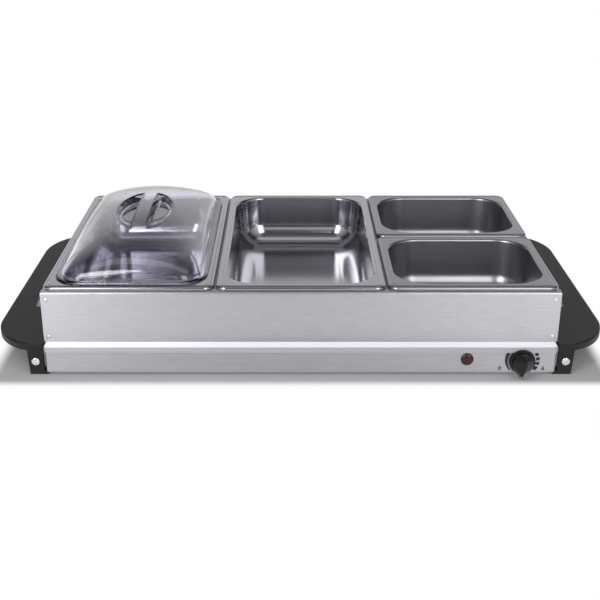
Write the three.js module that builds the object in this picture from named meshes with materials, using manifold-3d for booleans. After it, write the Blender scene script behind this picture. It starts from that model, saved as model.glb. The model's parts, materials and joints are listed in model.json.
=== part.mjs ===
// Buffet server: a low steel warming base with a lift-off pan frame, four drawn pans and one clear lid.
// Millimetres, +Z up, +X to the right of someone at the front, +Y to the back, floor at Z = 0.
import * as THREE from "three";
import { mergeVertices } from "three/addons/utils/BufferGeometryUtils.js";
import Module from "manifold-3d";

const wasm = await Module();
wasm.setup();

// Sheet metal and clearances
const sheet = 1;
const foldRadius = 1.2;
const gap = 0.3;
const overrun = 2;
const weldDistance = 0.0001;

// Facets of the round stretches
const cornerSteps = 4;
const smallCornerSteps = 3;
const foldSteps = 2;
const sweepSteps = 4;
const bendSteps = 6;
const handleSteps = 6;
const longSideParts = 4;
const shortSideParts = 2;
const roundSides = 20;
const mediumSides = 12;
const smallSides = 8;

// Warming base
const frontLedge = 13;
const rearLedge = 21;
const baseHeight = 30;
const floorClearance = 4;
const plateCorner = 4;
const plateEdgeRadius = 3;
const skirtDrop = 6.5;
const housingSetback = 1.5;
const housingCorner = 3;
const housingTopFlange = 12;
const housingFootFlange = 10;
const housingTopRadius = 2.5;
const housingFootRadius = 2;
const smallestRadius = 0.4;
const fieldRise = 1.5;
const fieldCorner = 12;

// Pan frame
const panSideMargin = 1.5;
const panEndMargin = 2.5;
const frameOverhang = 0.5;
const frameHeight = 55.3;
const rimFlange = 9.5;
const footFlange = 9;
const footFoldRadius = 0.2;
const cornerTab = 14;
const tabMargin = 1;
const locatingGap = 1;
const dividerWidth = 14;
const dividerDrop = 10;
const tongueLap = 2;

// Rivets of the frame corners
const rivetInset = 5.5;
const rivetRise = 6;
const rivetDrop = 8;
const rivetHeadRadius = 2.3;
const rivetHeadHeight = 1.2;
const rivetRadius = 1.4;
const rivetTailRadius = 2;
const rivetTailHeight = 0.7;

// Drawn pans
const panWidth = 176;
const panLength = 325;
const panGap = 2;
const panDepth = 56;
const panLip = 4.7;
const panLipRadius = 2.2;
const panLipTuck = 1.1;
const panLipCorner = 9;
const panFlange = 12.5;
const panMouthRadius = 2.5;
const panMouthCorner = 26;
const panDraft = 3.2;
const panFloorRadius = 17;

// Clear lid
const lidInset = 8;
const lidWall = 2;
const lidCorner = 29;
const lidFlange = 6.5;
const lidRise = 36;
const crownAcrossShare = 0.55;
const crownAlongShare = 0.49;
const shoulderPower = 12;
const domeShares = [0.06, 0.35, 0.6, 0.78, 0.89, 0.955, 0.986, 1];
const gripAcross = 31.8;
const gripAlong = 58.5;
const gripBar = 15.2;
const wellDepth = 11.5;
const wellDraft = 2.4;
const wellFloorRadius = 1.6;
const wellSteps = 9;

// Carrying handles
const handleReach = 58;
const handleThickness = 8.5;
const handleSetback = 6.5;
const handleCornerLength = 66.5;
const handleCornerDepth = 54.5;
const handleEdge = 1.5;
const slotHalfLength = 73;
const slotReach = 31;
const slotBulge = 4.5;
const slotCorner = 4;
const legWidth = 17;
const legTaper = 1.5;
const legDepth = 22;
const legProud = 1;
const legEdge = 1;
const legWall = 3;
const toeReach = 4;
const toeLength = 16;

// Brackets and screws that hold the handles
const bracketSheet = 1.2;
const bracketHeight = 16;
const bracketLift = 4;
const earReach = 12;
const screwHeadRadius = 4.5;
const screwHeadHeight = 2.6;
const screwRadius = 2;
const screwLength = 10;
const screwInset = 8.3;
const screwLift = 15.5;

// Bottom cover
const coverInset = 2.5;
const coverCorner = 6;
const coverRise = 2;
const coverBorder = 18;
const coverSlope = 3;
const ventLength = 36;
const ventWidth = 4;
const ventPitch = 14;
const ventCount = 4;
const ventShares = [-0.55, 0.55];
const coverScrewRadius = 1.6;
const coverScrewHead = 3.2;
const coverScrewHeight = 1.6;
const coverScrewLength = 5;
const coverScrewInset = 6.5;
const coverScrewShares = [-0.7, 0.7];

// Heater under the plate
const elementRadius = 3.25;
const elementRuns = 4;
const elementSideMargin = 35;
const elementLeftMargin = 37.5;
const elementRightMargin = 52.5;
const elementTailMargin = 67.5;
const pinRadius = 1.5;
const pinLength = 12;
const clipSheet = 0.8;
const clipFoot = 8;
const clipWidth = 12;
const clipPlace = -40;
const reflectorLeftMargin = 25.5;
const reflectorRightMargin = 79.5;
const reflectorSideMargin = 15;
const reflectorHeight = 14;
const reflectorCorner = 8;
const reflectorEdge = 2;
const cutoutRadius = 8.5;
const cutoutHeight = 8;
const cutoutCap = 1.5;
const cutoutMargin = 21.5;

// Thermostat and knob
const knobMargin = 37.5;
const knobHeight = 17.7;
const bushRadius = 4;
const bushLength = 5;
const nutAcross = 12;
const nutThickness = 2.5;
const thermostatWidth = 30;
const thermostatHeight = 22;
const thermostatDepth = 20;
const thermostatSlope = 3;
const shaftRadius = 3;
const shaftFlat = 0.8;
const shaftTail = 9;
const knobGap = 0.6;
const knobReach = 15;
const knobSkirtRadius = 13.5;
const knobSkirtHeight = 2.6;
const knobBodyRadius = 11.6;
const knobBodyHeight = 6.6;
const knobRecess = 9.2;
const knobRecessDepth = 3.5;
const knobBoreDepth = 9;
const pointerReach = 16.2;
const pointerTurn = THREE.MathUtils.degToRad(-15);
const crestWidth = 4.6;
const crestFront = 11;
const crestBack = 8.6;
const crestEdge = 0.6;
const gripShares = [0, 0.55, 0.94, 1];
const gripHeightShares = [0, 0.5, 0.88, 1];
const crestPowerShares = [0.5, 0.7];

// Indicator lamp
const lampSpacing = 56.9;
const lampHeight = 19.6;
const lensRadius = 6.6;
const lensDome = 2.6;
const lensRim = 0.9;
const stemRadius = 4.6;
const stemLength = 7;
const holderWall = 1.6;
const holderLength = 18;
const holderEnd = 2;

// Supply entry and terminals
const glandMargin = 62;
const glandHeight = 17;
const glandBore = 3.6;
const glandNeck = 5.6;
const glandFlange = 8.6;
const glandFlangeHeight = 2.4;
const glandNose = 6.4;
const glandReach = 12;
const glandInside = 5;
const blockWidth = 38;
const blockDepth = 18;
const blockHeight = 13;
const blockMargin = 42.5;
const blockBore = 2.2;
const blockBores = 3;
const blockPitch = 11;
const blockBaseShare = 0.45;

// Levels and faces that the sizes above give
const plateTop = floorClearance + baseHeight;
const plateUnder = plateTop - sheet;
const fieldUnder = plateTop + fieldRise - sheet;
const coverTop = floorClearance;
const coverCentreTop = coverTop + coverRise;
const frameTop = plateTop + frameHeight;
const rimTop = frameTop + panLip;
const columnPitch = panWidth + panGap;
const smallPanLength = (panLength - panGap) / 2;
const frameHalfX = columnPitch + panWidth / 2 + panSideMargin;
const frameHalfY = panLength / 2 + panEndMargin;
const frameY = (frontLedge - rearLedge) / 2;
const baseHalfX = frameHalfX - frameOverhang;
const baseHalfY = frameHalfY + (frontLedge + rearLedge) / 2;
const housingHalfX = baseHalfX - housingSetback;
const housingHalfY = baseHalfY - housingSetback;
const fieldHalfX = frameHalfX - footFlange - locatingGap;
const fieldHalfY = frameHalfY - footFlange - locatingGap;
const elementPitch = 2 * (fieldHalfY - elementSideMargin) / (elementRuns - 1);
const elementLeft = elementLeftMargin + elementPitch / 2 - fieldHalfX;
const elementRight = fieldHalfX - elementRightMargin - elementPitch / 2;
const elementEnd = fieldHalfX - elementTailMargin;
const knobPlace = baseHalfX - knobMargin;
const lampPlace = knobPlace - lampSpacing;
const glandPlace = baseHalfX - glandMargin;
const knobBack = -baseHalfY - knobGap;
const knobFront = knobBack - knobReach;
const glandBack = housingHalfY + glandReach;
const handleInner = frameHalfX + gap;
const handleHalfLength = baseHalfY - handleSetback;
const legFront = -handleHalfLength - legProud;

// Colours and finishes of the pieces
const brushedSteel = { color: 0xc3c2c6, roughness: 0.34, metalness: 1 };
const drawnSteel = { color: 0xb9b6b4, roughness: 0.22, metalness: 1 };
const zincSteel = { color: 0xa9abad, roughness: 0.5, metalness: 1 };
const blackPhenolic = { color: 0x2c2c2e, roughness: 0.55, metalness: 0 };
const clearPlastic = { color: 0xd6d4e2, roughness: 0.08, metalness: 0, transparent: true, opacity: 0.35 };
const redLens = { color: 0x5a1518, roughness: 0.25, metalness: 0 };
const whiteCeramic = { color: 0xe6e2d8, roughness: 0.6, metalness: 0 };
const greyPlastic = { color: 0x8c8c8a, roughness: 0.6, metalness: 0 };
const heaterSheath = { color: 0x6e6258, roughness: 0.5, metalness: 1 };

// A closed geometry as a solid that can be cut and joined
function solidOf(geometry) {
  const bare = geometry.index ? geometry.toNonIndexed() : geometry.clone();
  for (const name of Object.keys(bare.attributes)) {
    if (name !== "position") bare.deleteAttribute(name);
  }
  const merged = mergeVertices(bare, weldDistance);
  const vertProperties = new Float32Array(merged.attributes.position.array);
  const corners = merged.index.array;
  const kept = [];
  for (let i = 0; i < corners.length; i += 3) {
    const [a, b, c] = [corners[i], corners[i + 1], corners[i + 2]];
    if (a !== b && b !== c && c !== a) kept.push(a, b, c);
  }
  const triVerts = new Uint32Array(kept);
  return new wasm.Manifold(new wasm.Mesh({ numProp: 3, vertProperties, triVerts }));
}

// A solid as a drawable geometry with flat facets
function geometryOf(solid) {
  const mesh = solid.getMesh();
  const geometry = new THREE.BufferGeometry();
  geometry.setAttribute("position", new THREE.BufferAttribute(new Float32Array(mesh.vertProperties), 3));
  geometry.setIndex(new THREE.BufferAttribute(new Uint32Array(mesh.triVerts), 1));
  const faceted = geometry.toNonIndexed();
  faceted.computeVertexNormals();
  return faceted;
}

// A block between two corners
function block(low, high) {
  const size = new THREE.Vector3().subVectors(high, low);
  const middle = new THREE.Vector3().addVectors(low, high).multiplyScalar(0.5);
  const box = new THREE.BoxGeometry(size.x, size.y, size.z);
  return solidOf(box.translate(middle.x, middle.y, middle.z));
}

function point(x, y, z) {
  return new THREE.Vector3(x, y, z);
}

// A rounded rectangle as points, counter-clockwise seen from above
function roundedRing({ halfX, halfY, radius, z, x = 0, y = 0, steps = smallCornerSteps }) {
  const signs = [[1, 1], [-1, 1], [-1, -1], [1, -1]];
  const ring = [];
  signs.forEach(([sideX, sideY], quarter) => {
    for (let step = 0; step <= steps; step += 1) {
      const angle = (quarter + step / steps) * Math.PI / 2;
      const px = sideX * (halfX - radius) + radius * Math.cos(angle);
      const py = sideY * (halfY - radius) + radius * Math.sin(angle);
      ring.push(point(x + px, y + py, z));
    }
  });
  return ring;
}

// The same ring with points added along its straight sides: a few on the short, more on the long
function sidedRing(ring) {
  const corners = ring.length / 4;
  return ring.flatMap((here, index) => {
    if ((index + 1) % corners !== 0) return [here];
    const next = ring[(index + 1) % ring.length];
    const parts = Math.abs(next.y - here.y) > Math.abs(next.x - here.x) ? longSideParts : shortSideParts;
    const points = [here];
    for (let part = 1; part < parts; part += 1) points.push(here.clone().lerp(next, part / parts));
    return points;
  });
}

// A skin laid over rings of equal count, from the top inwards face round to the underside.
// A looped skin joins its last ring to its first; any other is closed by a fan at each end.
function loft(rings, looped = false) {
  const count = rings[0].length;
  const positions = [];
  const triangle = (a, b, c) => positions.push(...a.toArray(), ...b.toArray(), ...c.toArray());
  const spans = looped ? rings.length : rings.length - 1;
  for (let i = 0; i < spans; i += 1) {
    const upper = rings[i];
    const lower = rings[(i + 1) % rings.length];
    for (let j = 0; j < count; j += 1) {
      const k = (j + 1) % count;
      triangle(upper[j], lower[j], lower[k]);
      triangle(upper[j], lower[k], upper[k]);
    }
  }
  if (!looped) {
    const first = rings[0];
    const last = rings[rings.length - 1];
    const firstCentre = centreOf(first);
    const lastCentre = centreOf(last);
    for (let j = 0; j < count; j += 1) {
      const k = (j + 1) % count;
      triangle(firstCentre, first[j], first[k]);
      triangle(lastCentre, last[k], last[j]);
    }
  }
  const geometry = new THREE.BufferGeometry();
  geometry.setAttribute("position", new THREE.Float32BufferAttribute(positions, 3));
  return solidOf(geometry);
}

function centreOf(ring) {
  const sum = new THREE.Vector3();
  ring.forEach((corner) => sum.add(corner));
  return sum.divideScalar(ring.length);
}

// Steps of a quarter round, as a pair of shares that run from (0, 1) to (1, 0)
function quarterRound(steps) {
  const shares = [];
  for (let step = 0; step <= steps; step += 1) {
    const angle = (step / steps) * Math.PI / 2;
    shares.push([Math.sin(angle), Math.cos(angle)]);
  }
  return shares;
}

// The outline of a folded strip: a centre line through its corners, with the inside radius of each fold
function foldedStrip(corners, thickness, radii) {
  const left = [];
  const right = [];
  corners.forEach(([x, y], index) => {
    const here = new THREE.Vector2(x, y);
    const before = index > 0 ? new THREE.Vector2(...corners[index - 1]) : null;
    const after = index < corners.length - 1 ? new THREE.Vector2(...corners[index + 1]) : null;
    const arriving = before ? here.clone().sub(before).normalize() : null;
    const leaving = after ? after.clone().sub(here).normalize() : null;
    if (!arriving || !leaving) {
      const along = arriving ?? leaving;
      const side = new THREE.Vector2(-along.y, along.x).multiplyScalar(thickness / 2);
      left.push(here.clone().add(side));
      right.push(here.clone().sub(side));
      return;
    }
    const bend = radii[index - 1] + thickness / 2;
    const turn = Math.atan2(arriving.cross(leaving), arriving.dot(leaving));
    const hand = Math.sign(turn);
    const setback = bend * Math.tan(Math.abs(turn) / 2);
    const start = here.clone().addScaledVector(arriving, -setback);
    const inward = new THREE.Vector2(-arriving.y, arriving.x).multiplyScalar(hand);
    const centre = start.clone().addScaledVector(inward, bend);
    for (let step = 0; step <= foldSteps; step += 1) {
      const spoke = inward.clone().negate().rotateAround(new THREE.Vector2(), (turn * step) / foldSteps);
      left.push(centre.clone().addScaledVector(spoke, bend - (hand * thickness) / 2));
      right.push(centre.clone().addScaledVector(spoke, bend + (hand * thickness) / 2));
    }
  });
  return new THREE.Shape([...right, ...left.reverse()]);
}

// An outline drawn in X and Y, raised from one level to another
function risen(shape, low, high, curveSegments = cornerSteps) {
  const geometry = new THREE.ExtrudeGeometry(shape, { depth: high - low, bevelEnabled: false, curveSegments });
  return solidOf(geometry.translate(0, 0, low));
}

// An outline drawn in Y and Z, run along X
function runAlongX(shape, low, high) {
  const options = { depth: high - low, bevelEnabled: false, curveSegments: cornerSteps };
  const geometry = new THREE.ExtrudeGeometry(shape, options);
  geometry.rotateX(Math.PI / 2).rotateZ(Math.PI / 2);
  return solidOf(geometry.translate(low, 0, 0));
}

// An outline drawn in X and Z, run along Y
function runAlongY(shape, low, high) {
  const geometry = new THREE.ExtrudeGeometry(shape, { depth: high - low, bevelEnabled: false });
  geometry.rotateX(Math.PI / 2);
  return solidOf(geometry.translate(0, high, 0));
}

// A profile of radius and height, turned about Z
function turned(profile, sides) {
  const points = profile.map(([radius, height]) => new THREE.Vector2(radius, height));
  const geometry = new THREE.LatheGeometry(points, sides);
  return solidOf(geometry.rotateX(Math.PI / 2));
}

// A solid whose own +Z is laid along -Y, out of the front
function facingFront(solid, x, y, z) {
  return solid.rotate([90, 0, 0]).translate([x, y, z]);
}

// A solid whose own +Z is laid along +Y, out of the back
function facingBack(solid, x, y, z) {
  return solid.rotate([-90, 0, 0]).translate([x, y, z]);
}

function rod(radius, low, high, sides) {
  return turned([[0, low], [radius, low], [radius, high], [0, high]], sides);
}

function mirrorX(solid) {
  return solid.mirror([1, 0, 0]);
}

function mirrorY(solid) {
  return solid.mirror([0, 1, 0]);
}

function named(name, solid, finish) {
  const mesh = new THREE.Mesh(geometryOf(solid), new THREE.MeshStandardMaterial(finish));
  mesh.name = name;
  return mesh;
}

// Rings of a sheet that is folded over all round: top, rounded edge, skirt and the inside of each
function foldedLid({ halfX, halfY, corner, edge, top, foot, x = 0, y = 0 }) {
  const ring = (inset, z) => {
    const radius = Math.max(corner - inset, smallestRadius);
    return roundedRing({ halfX: halfX - inset, halfY: halfY - inset, radius, z, x, y });
  };
  const rounds = quarterRound(foldSteps);
  const inner = edge - sheet;
  const outside = rounds.map(([out, up]) => ring(edge - edge * out, top - edge + edge * up));
  const inside = rounds.map(([out, up]) => ring(edge - inner * up, top - edge + inner * out));
  return [...outside, ring(0, foot), ring(sheet, foot), ...inside];
}

// Warming plate: one sheet with a skirt all round and a raised field that locates the frame
function warmingPlate() {
  const field = (inset, z) => {
    const radius = fieldCorner + fieldRise - inset;
    return roundedRing({ halfX: fieldHalfX - inset, halfY: fieldHalfY - inset, radius, z, y: frameY });
  };
  const sheetRings = foldedLid({
    halfX: baseHalfX,
    halfY: baseHalfY,
    corner: plateCorner,
    edge: plateEdgeRadius,
    top: plateTop,
    foot: plateTop - skirtDrop,
  });
  return loft([
    field(fieldRise, plateTop + fieldRise),
    field(0, plateTop),
    ...sheetRings,
    field(sheet, plateUnder),
    field(sheet + fieldRise, fieldUnder),
  ]);
}

// Housing: a band of sheet with a flange turned in at its top and its foot
function baseHousing() {
  const ring = (inset, z) => {
    const radius = Math.max(housingCorner - inset, smallestRadius);
    return roundedRing({ halfX: housingHalfX - inset, halfY: housingHalfY - inset, radius, z });
  };
  const rounds = quarterRound(foldSteps);
  const top = housingTopRadius;
  const foot = housingFootRadius;
  const innerTop = top - sheet;
  const innerFoot = foot - sheet;
  const topCentre = plateUnder - top;
  const footCentre = floorClearance + foot;
  const band = loft([
    ring(housingTopFlange, plateUnder),
    ...rounds.map(([out, up]) => ring(top - top * out, topCentre + top * up)),
    ...rounds.map(([out, up]) => ring(foot - foot * up, footCentre - foot * out)),
    ring(housingFootFlange, floorClearance),
    ring(housingFootFlange, floorClearance + sheet),
    ...rounds.map(([out, up]) => ring(foot - innerFoot * out, footCentre - innerFoot * up)),
    ...rounds.map(([out, up]) => ring(top - innerTop * up, topCentre + innerTop * out)),
    ring(housingTopFlange, plateUnder - sheet),
  ], true);
  const hole = (radius) => rod(radius, -overrun, sheet + overrun, mediumSides);
  const lamp = facingFront(hole(stemRadius + gap), lampPlace, -housingHalfY + sheet, lampHeight);
  const bush = facingFront(hole(bushRadius + gap), knobPlace, -housingHalfY + sheet, knobHeight);
  const gland = facingBack(hole(glandNeck + gap), glandPlace, housingHalfY - sheet, glandHeight);
  let housing = band.subtract(lamp).subtract(bush).subtract(gland);
  for (const [x, y] of coverScrewPlaces()) {
    housing = housing.subtract(
      rod(coverScrewRadius + gap, floorClearance - overrun, floorClearance + sheet + overrun, smallSides)
        .translate([x, y, 0]),
    );
  }
  return housing;
}

// Places of the cover screws, on the foot flange along the front and the back
function coverScrewPlaces() {
  const y = housingHalfY - coverScrewInset;
  return [-y, y].flatMap((row) => coverScrewShares.map((share) => [share * housingHalfX, row]));
}

// Bottom cover: a sheet with a raised centre, two rows of vents and its screw holes
function bottomCover() {
  const halfX = housingHalfX - coverInset;
  const halfY = housingHalfY - coverInset;
  const ring = (inset, z) => {
    return roundedRing({ halfX: halfX - inset, halfY: halfY - inset, radius: coverCorner, z });
  };
  let cover = loft([
    ring(coverBorder + coverSlope, coverCentreTop),
    ring(coverBorder, coverTop),
    ring(0, coverTop),
    ring(0, coverTop - sheet),
    ring(coverBorder + sheet / 2, coverTop - sheet),
    ring(coverBorder + coverSlope + sheet / 2, coverCentreTop - sheet),
  ]);
  const vent = new THREE.Shape();
  const reach = (ventLength - ventWidth) / 2;
  vent.absarc(0, reach, ventWidth / 2, 0, Math.PI, false);
  vent.absarc(0, -reach, ventWidth / 2, Math.PI, 2 * Math.PI, false);
  const cutter = risen(vent, coverTop - overrun, coverCentreTop + overrun, foldSteps);
  for (const share of ventShares) {
    for (let count = 0; count < ventCount; count += 1) {
      const x = (count - (ventCount - 1) / 2) * ventPitch;
      cover = cover.subtract(cutter.translate([x, share * halfY, 0]));
    }
  }
  const hole = rod(coverScrewRadius + gap, coverTop - sheet - overrun, coverTop + overrun, smallSides);
  for (const [x, y] of coverScrewPlaces()) {
    cover = cover.subtract(hole.translate([x, y, 0]));
  }
  return cover;
}

function coverScrew() {
  const head = coverTop - sheet;
  return turned([
    [0, head - coverScrewHeight],
    [coverScrewHead - coverScrewHeight / 2, head - coverScrewHeight],
    [coverScrewHead, head - coverScrewHeight / 2],
    [coverScrewHead, head],
    [coverScrewRadius, head],
    [coverScrewRadius, head + coverScrewLength],
    [0, head + coverScrewLength],
  ], smallSides);
}

// Heating element: a sheathed rod laid to and fro under the plate, with a pin at each end
function elementLevel() {
  return fieldUnder - gap - elementRadius;
}

function elementRow(run) {
  return (run - (elementRuns - 1) / 2) * elementPitch;
}

function heatingElement() {
  const rings = [];
  const lay = (x, y, heading, radius) => {
    const ring = [];
    for (let side = 0; side < smallSides; side += 1) {
      const turn = (side / smallSides) * 2 * Math.PI;
      const out = radius * Math.cos(turn);
      const up = radius * Math.sin(turn);
      ring.push(point(x - out * Math.sin(heading), y + out * Math.cos(heading), elementLevel() - up));
    }
    rings.push(ring);
  };
  const firstRow = elementRow(0) + frameY;
  lay(elementEnd + pinLength, firstRow, Math.PI, pinRadius);
  lay(elementEnd, firstRow, Math.PI, pinRadius);
  lay(elementEnd, firstRow, Math.PI, elementRadius);
  for (let bend = 0; bend < elementRuns - 1; bend += 1) {
    const atLeft = bend % 2 === 0;
    const reach = (atLeft ? elementPitch : -elementPitch) / 2;
    const centreX = atLeft ? elementLeft : elementRight;
    const centreY = elementRow(bend) + frameY + elementPitch / 2;
    for (let step = 0; step <= bendSteps; step += 1) {
      const share = step / bendSteps;
      const heading = (atLeft ? 1 - share : share) * Math.PI;
      lay(centreX - reach * Math.sin(heading), centreY + reach * Math.cos(heading), heading, elementRadius);
    }
  }
  const lastRow = elementRow(elementRuns - 1) + frameY;
  lay(elementEnd, lastRow, 0, elementRadius);
  lay(elementEnd, lastRow, 0, pinRadius);
  lay(elementEnd + pinLength, lastRow, 0, pinRadius);
  return loft(rings);
}

// Saddle clip: two feet against the plate and an arch round the element
function elementClip(run) {
  const inner = elementRadius + gap;
  const centre = elementLevel();
  const arch = new THREE.Shape();
  const outer = inner + clipSheet;
  const foot = outer + clipFoot;
  arch.moveTo(-foot, fieldUnder);
  arch.lineTo(-foot, fieldUnder - clipSheet);
  arch.lineTo(-outer, fieldUnder - clipSheet);
  arch.lineTo(-outer, centre);
  arch.absarc(0, centre, outer, Math.PI, 2 * Math.PI, false);
  arch.lineTo(outer, fieldUnder - clipSheet);
  arch.lineTo(foot, fieldUnder - clipSheet);
  arch.lineTo(foot, fieldUnder);
  arch.lineTo(inner, fieldUnder);
  arch.lineTo(inner, centre);
  arch.absarc(0, centre, inner, 0, -Math.PI, true);
  arch.lineTo(-inner, fieldUnder);
  const y = elementRow(run) + frameY;
  return runAlongX(arch, clipPlace - clipWidth / 2, clipPlace + clipWidth / 2).translate([0, y, 0]);
}

// Heat reflector: an inverted tray that stands on the bottom cover under the element
function heatReflector() {
  const rings = foldedLid({
    halfX: fieldHalfX - (reflectorLeftMargin + reflectorRightMargin) / 2,
    halfY: fieldHalfY - reflectorSideMargin,
    corner: reflectorCorner,
    edge: reflectorEdge,
    top: coverCentreTop + reflectorHeight,
    foot: coverCentreTop,
    x: (reflectorLeftMargin - reflectorRightMargin) / 2,
    y: frameY,
  });
  return loft(rings);
}

// Thermal cut-out: a stepped disc held against the plate
function thermalCutout() {
  const top = fieldUnder - gap;
  return turned([
    [0, top - cutoutHeight],
    [cutoutRadius - cutoutCap, top - cutoutHeight],
    [cutoutRadius - cutoutCap, top - cutoutHeight / 2],
    [cutoutRadius, top - cutoutHeight / 2],
    [cutoutRadius, top - cutoutCap],
    [cutoutRadius - cutoutCap, top],
    [0, top],
  ], mediumSides).translate([fieldHalfX - cutoutMargin, 0, 0]);
}

// Thermostat: a moulded body behind the front wall, with a threaded bush through it
function thermostatBody() {
  const halfX = thermostatWidth / 2;
  const halfZ = thermostatHeight / 2;
  const ring = (inset, z) => {
    const size = { halfX: halfX - inset, halfY: halfZ - inset, radius: foldRadius, z };
    return roundedRing(size);
  };
  const body = loft([
    ring(0, 0),
    ring(0, -thermostatDepth / 2),
    ring(thermostatSlope, -thermostatDepth),
  ]);
  const bush = rod(bushRadius, -overrun, sheet + bushLength, smallSides);
  const bore = rod(shaftRadius + gap, -shaftTail - gap, sheet + bushLength + overrun, smallSides);
  return facingFront(body.add(bush).subtract(bore), knobPlace, -housingHalfY + sheet, knobHeight);
}

function thermostatNut() {
  const hexagon = new THREE.Shape();
  for (let side = 0; side < 6; side += 1) {
    const angle = (side * Math.PI) / 3;
    const radius = nutAcross / Math.sqrt(3);
    const corner = [radius * Math.cos(angle), radius * Math.sin(angle)];
    if (side === 0) hexagon.moveTo(...corner);
    else hexagon.lineTo(...corner);
  }
  const hole = rod(bushRadius + gap, -overrun, nutThickness + overrun, smallSides);
  const nut = risen(hexagon, 0, nutThickness).subtract(hole);
  return facingFront(nut, knobPlace, -housingHalfY, knobHeight);
}

// Shaft: round, with a flat for the knob along its outer end
function thermostatShaft() {
  const start = housingHalfY - sheet;
  const end = -knobBack - start + knobBoreDepth - gap;
  const round = rod(shaftRadius, -shaftTail, end, smallSides);
  const flat = block(
    point(-shaftRadius - overrun, shaftRadius - shaftFlat, sheet + bushLength + gap),
    point(shaftRadius + overrun, shaftRadius + overrun, end + overrun),
  );
  const turn = THREE.MathUtils.radToDeg(pointerTurn);
  return facingFront(round.subtract(flat).rotate([0, 0, turn]), knobPlace, -start, knobHeight);
}

// Knob: a round skirt under a grip that is a teardrop at its foot and narrows to a straight crest.
// Its own +Z is the knob's axis and its pointer lies along -Y.
function controlKnob() {
  const skirt = turned([
    [0, 0],
    [knobSkirtRadius, 0],
    [knobSkirtRadius, knobSkirtHeight / 2],
    [knobBodyRadius, knobSkirtHeight],
    [0, knobSkirtHeight],
  ], roundSides);
  const flank = Math.acos(knobBodyRadius / pointerReach);
  const ring = (crestShare, height) => {
    const points = [];
    for (let side = 0; side < roundSides; side += 1) {
      const angle = (side / roundSides) * 2 * Math.PI;
      const off = Math.min(angle, 2 * Math.PI - angle);
      const reach = knobBodyRadius / Math.cos(Math.max(flank - off, 0));
      const foot = point(reach * Math.sin(angle), -reach * Math.cos(angle), height);
      const [across, along] = [Math.sin(angle), Math.cos(angle)];
      const crestX = Math.sign(across) * Math.abs(across) ** crestPowerShares[0] * crestWidth / 2;
      const crestReach = along > 0 ? crestFront : crestBack;
      const crestY = -Math.sign(along) * Math.abs(along) ** crestPowerShares[1] * crestReach;
      points.push(foot.lerp(point(crestX, crestY, height), crestShare));
    }
    return points;
  };
  const slope = knobReach - crestEdge - knobBodyHeight;
  const flanks = gripShares.map((share, index) => ring(share, knobBodyHeight + slope * gripHeightShares[index]));
  const crest = ring(1, knobReach).map((corner) => {
    return point(corner.x * (1 - 2 * crestEdge / crestWidth), corner.y * (1 - crestEdge / crestBack), corner.z);
  });
  const grip = loft([crest, ...flanks.reverse(), ring(0, knobSkirtHeight / 2)]);
  const recess = rod(knobRecess, -overrun, knobRecessDepth, roundSides);
  const flat = block(
    point(-shaftRadius - overrun, shaftRadius + gap - shaftFlat, -overrun),
    point(shaftRadius + overrun, shaftRadius + overrun, knobBoreDepth + overrun),
  );
  const bore = rod(shaftRadius + gap, -overrun, knobBoreDepth, smallSides).subtract(flat);
  const turn = THREE.MathUtils.radToDeg(pointerTurn);
  const knob = skirt.add(grip).subtract(recess).subtract(bore).rotate([0, 0, turn]);
  return facingFront(knob, knobPlace, knobBack, knobHeight);
}

// Indicator lens: a shallow dome with a stem through the front wall
function indicatorLens() {
  const profile = [
    [0, -stemLength],
    [stemRadius, -stemLength],
    [stemRadius, 0],
    [lensRadius, 0],
  ];
  for (const [out, up] of quarterRound(foldSteps).reverse()) {
    profile.push([lensRadius * out, lensRim + lensDome * up]);
  }
  return facingFront(turned(profile, roundSides), lampPlace, -housingHalfY, lampHeight);
}

// Lamp holder: a cup pushed over the lens stem from behind
function indicatorHolder() {
  const inner = stemRadius + gap;
  const cup = turned([
    [0, -holderLength],
    [inner + holderWall, -holderLength],
    [inner + holderWall, 0],
    [inner, 0],
    [inner, holderEnd - holderLength],
    [0, holderEnd - holderLength],
  ], mediumSides);
  return facingFront(cup, lampPlace, -housingHalfY + sheet, lampHeight);
}

// Cord entry: a grooved bush in the back wall, its bore open right through
function cordGland() {
  const bush = turned([
    [glandBore, -sheet - glandInside],
    [glandFlange - foldRadius, -sheet - glandInside],
    [glandFlange, -sheet - glandInside / 2],
    [glandFlange, -sheet - gap],
    [glandNeck, -sheet - gap],
    [glandNeck, gap],
    [glandFlange, gap],
    [glandFlange, glandFlangeHeight],
    [glandNose, glandFlangeHeight + foldRadius],
    [glandNeck, glandReach],
    [glandBore, glandReach],
    [glandBore, -sheet - glandInside],
  ], mediumSides);
  return facingBack(bush, glandPlace, housingHalfY, glandHeight);
}

// Terminal block: a stepped bar with a clamping bore for each lead
function terminalBlock() {
  const foot = coverCentreTop;
  const half = blockWidth / 2;
  const step = blockDepth * blockBaseShare / 2;
  const base = block(
    point(-half, -blockDepth / 2, foot),
    point(half, blockDepth / 2, foot + blockHeight * blockBaseShare),
  );
  const ridge = block(point(-half, -step, foot), point(half, step, foot + blockHeight));
  let body = base.add(ridge);
  for (let count = 0; count < blockBores; count += 1) {
    const x = (count - (blockBores - 1) / 2) * blockPitch;
    const hole = rod(blockBore, -blockDepth, blockDepth, smallSides).rotate([90, 0, 0]);
    body = body.subtract(hole.translate([x, 0, foot + blockHeight * (1 + blockBaseShare) / 2 - blockBore / 2]));
  }
  return body.translate([glandPlace, housingHalfY - blockMargin, 0]);
}

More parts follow.
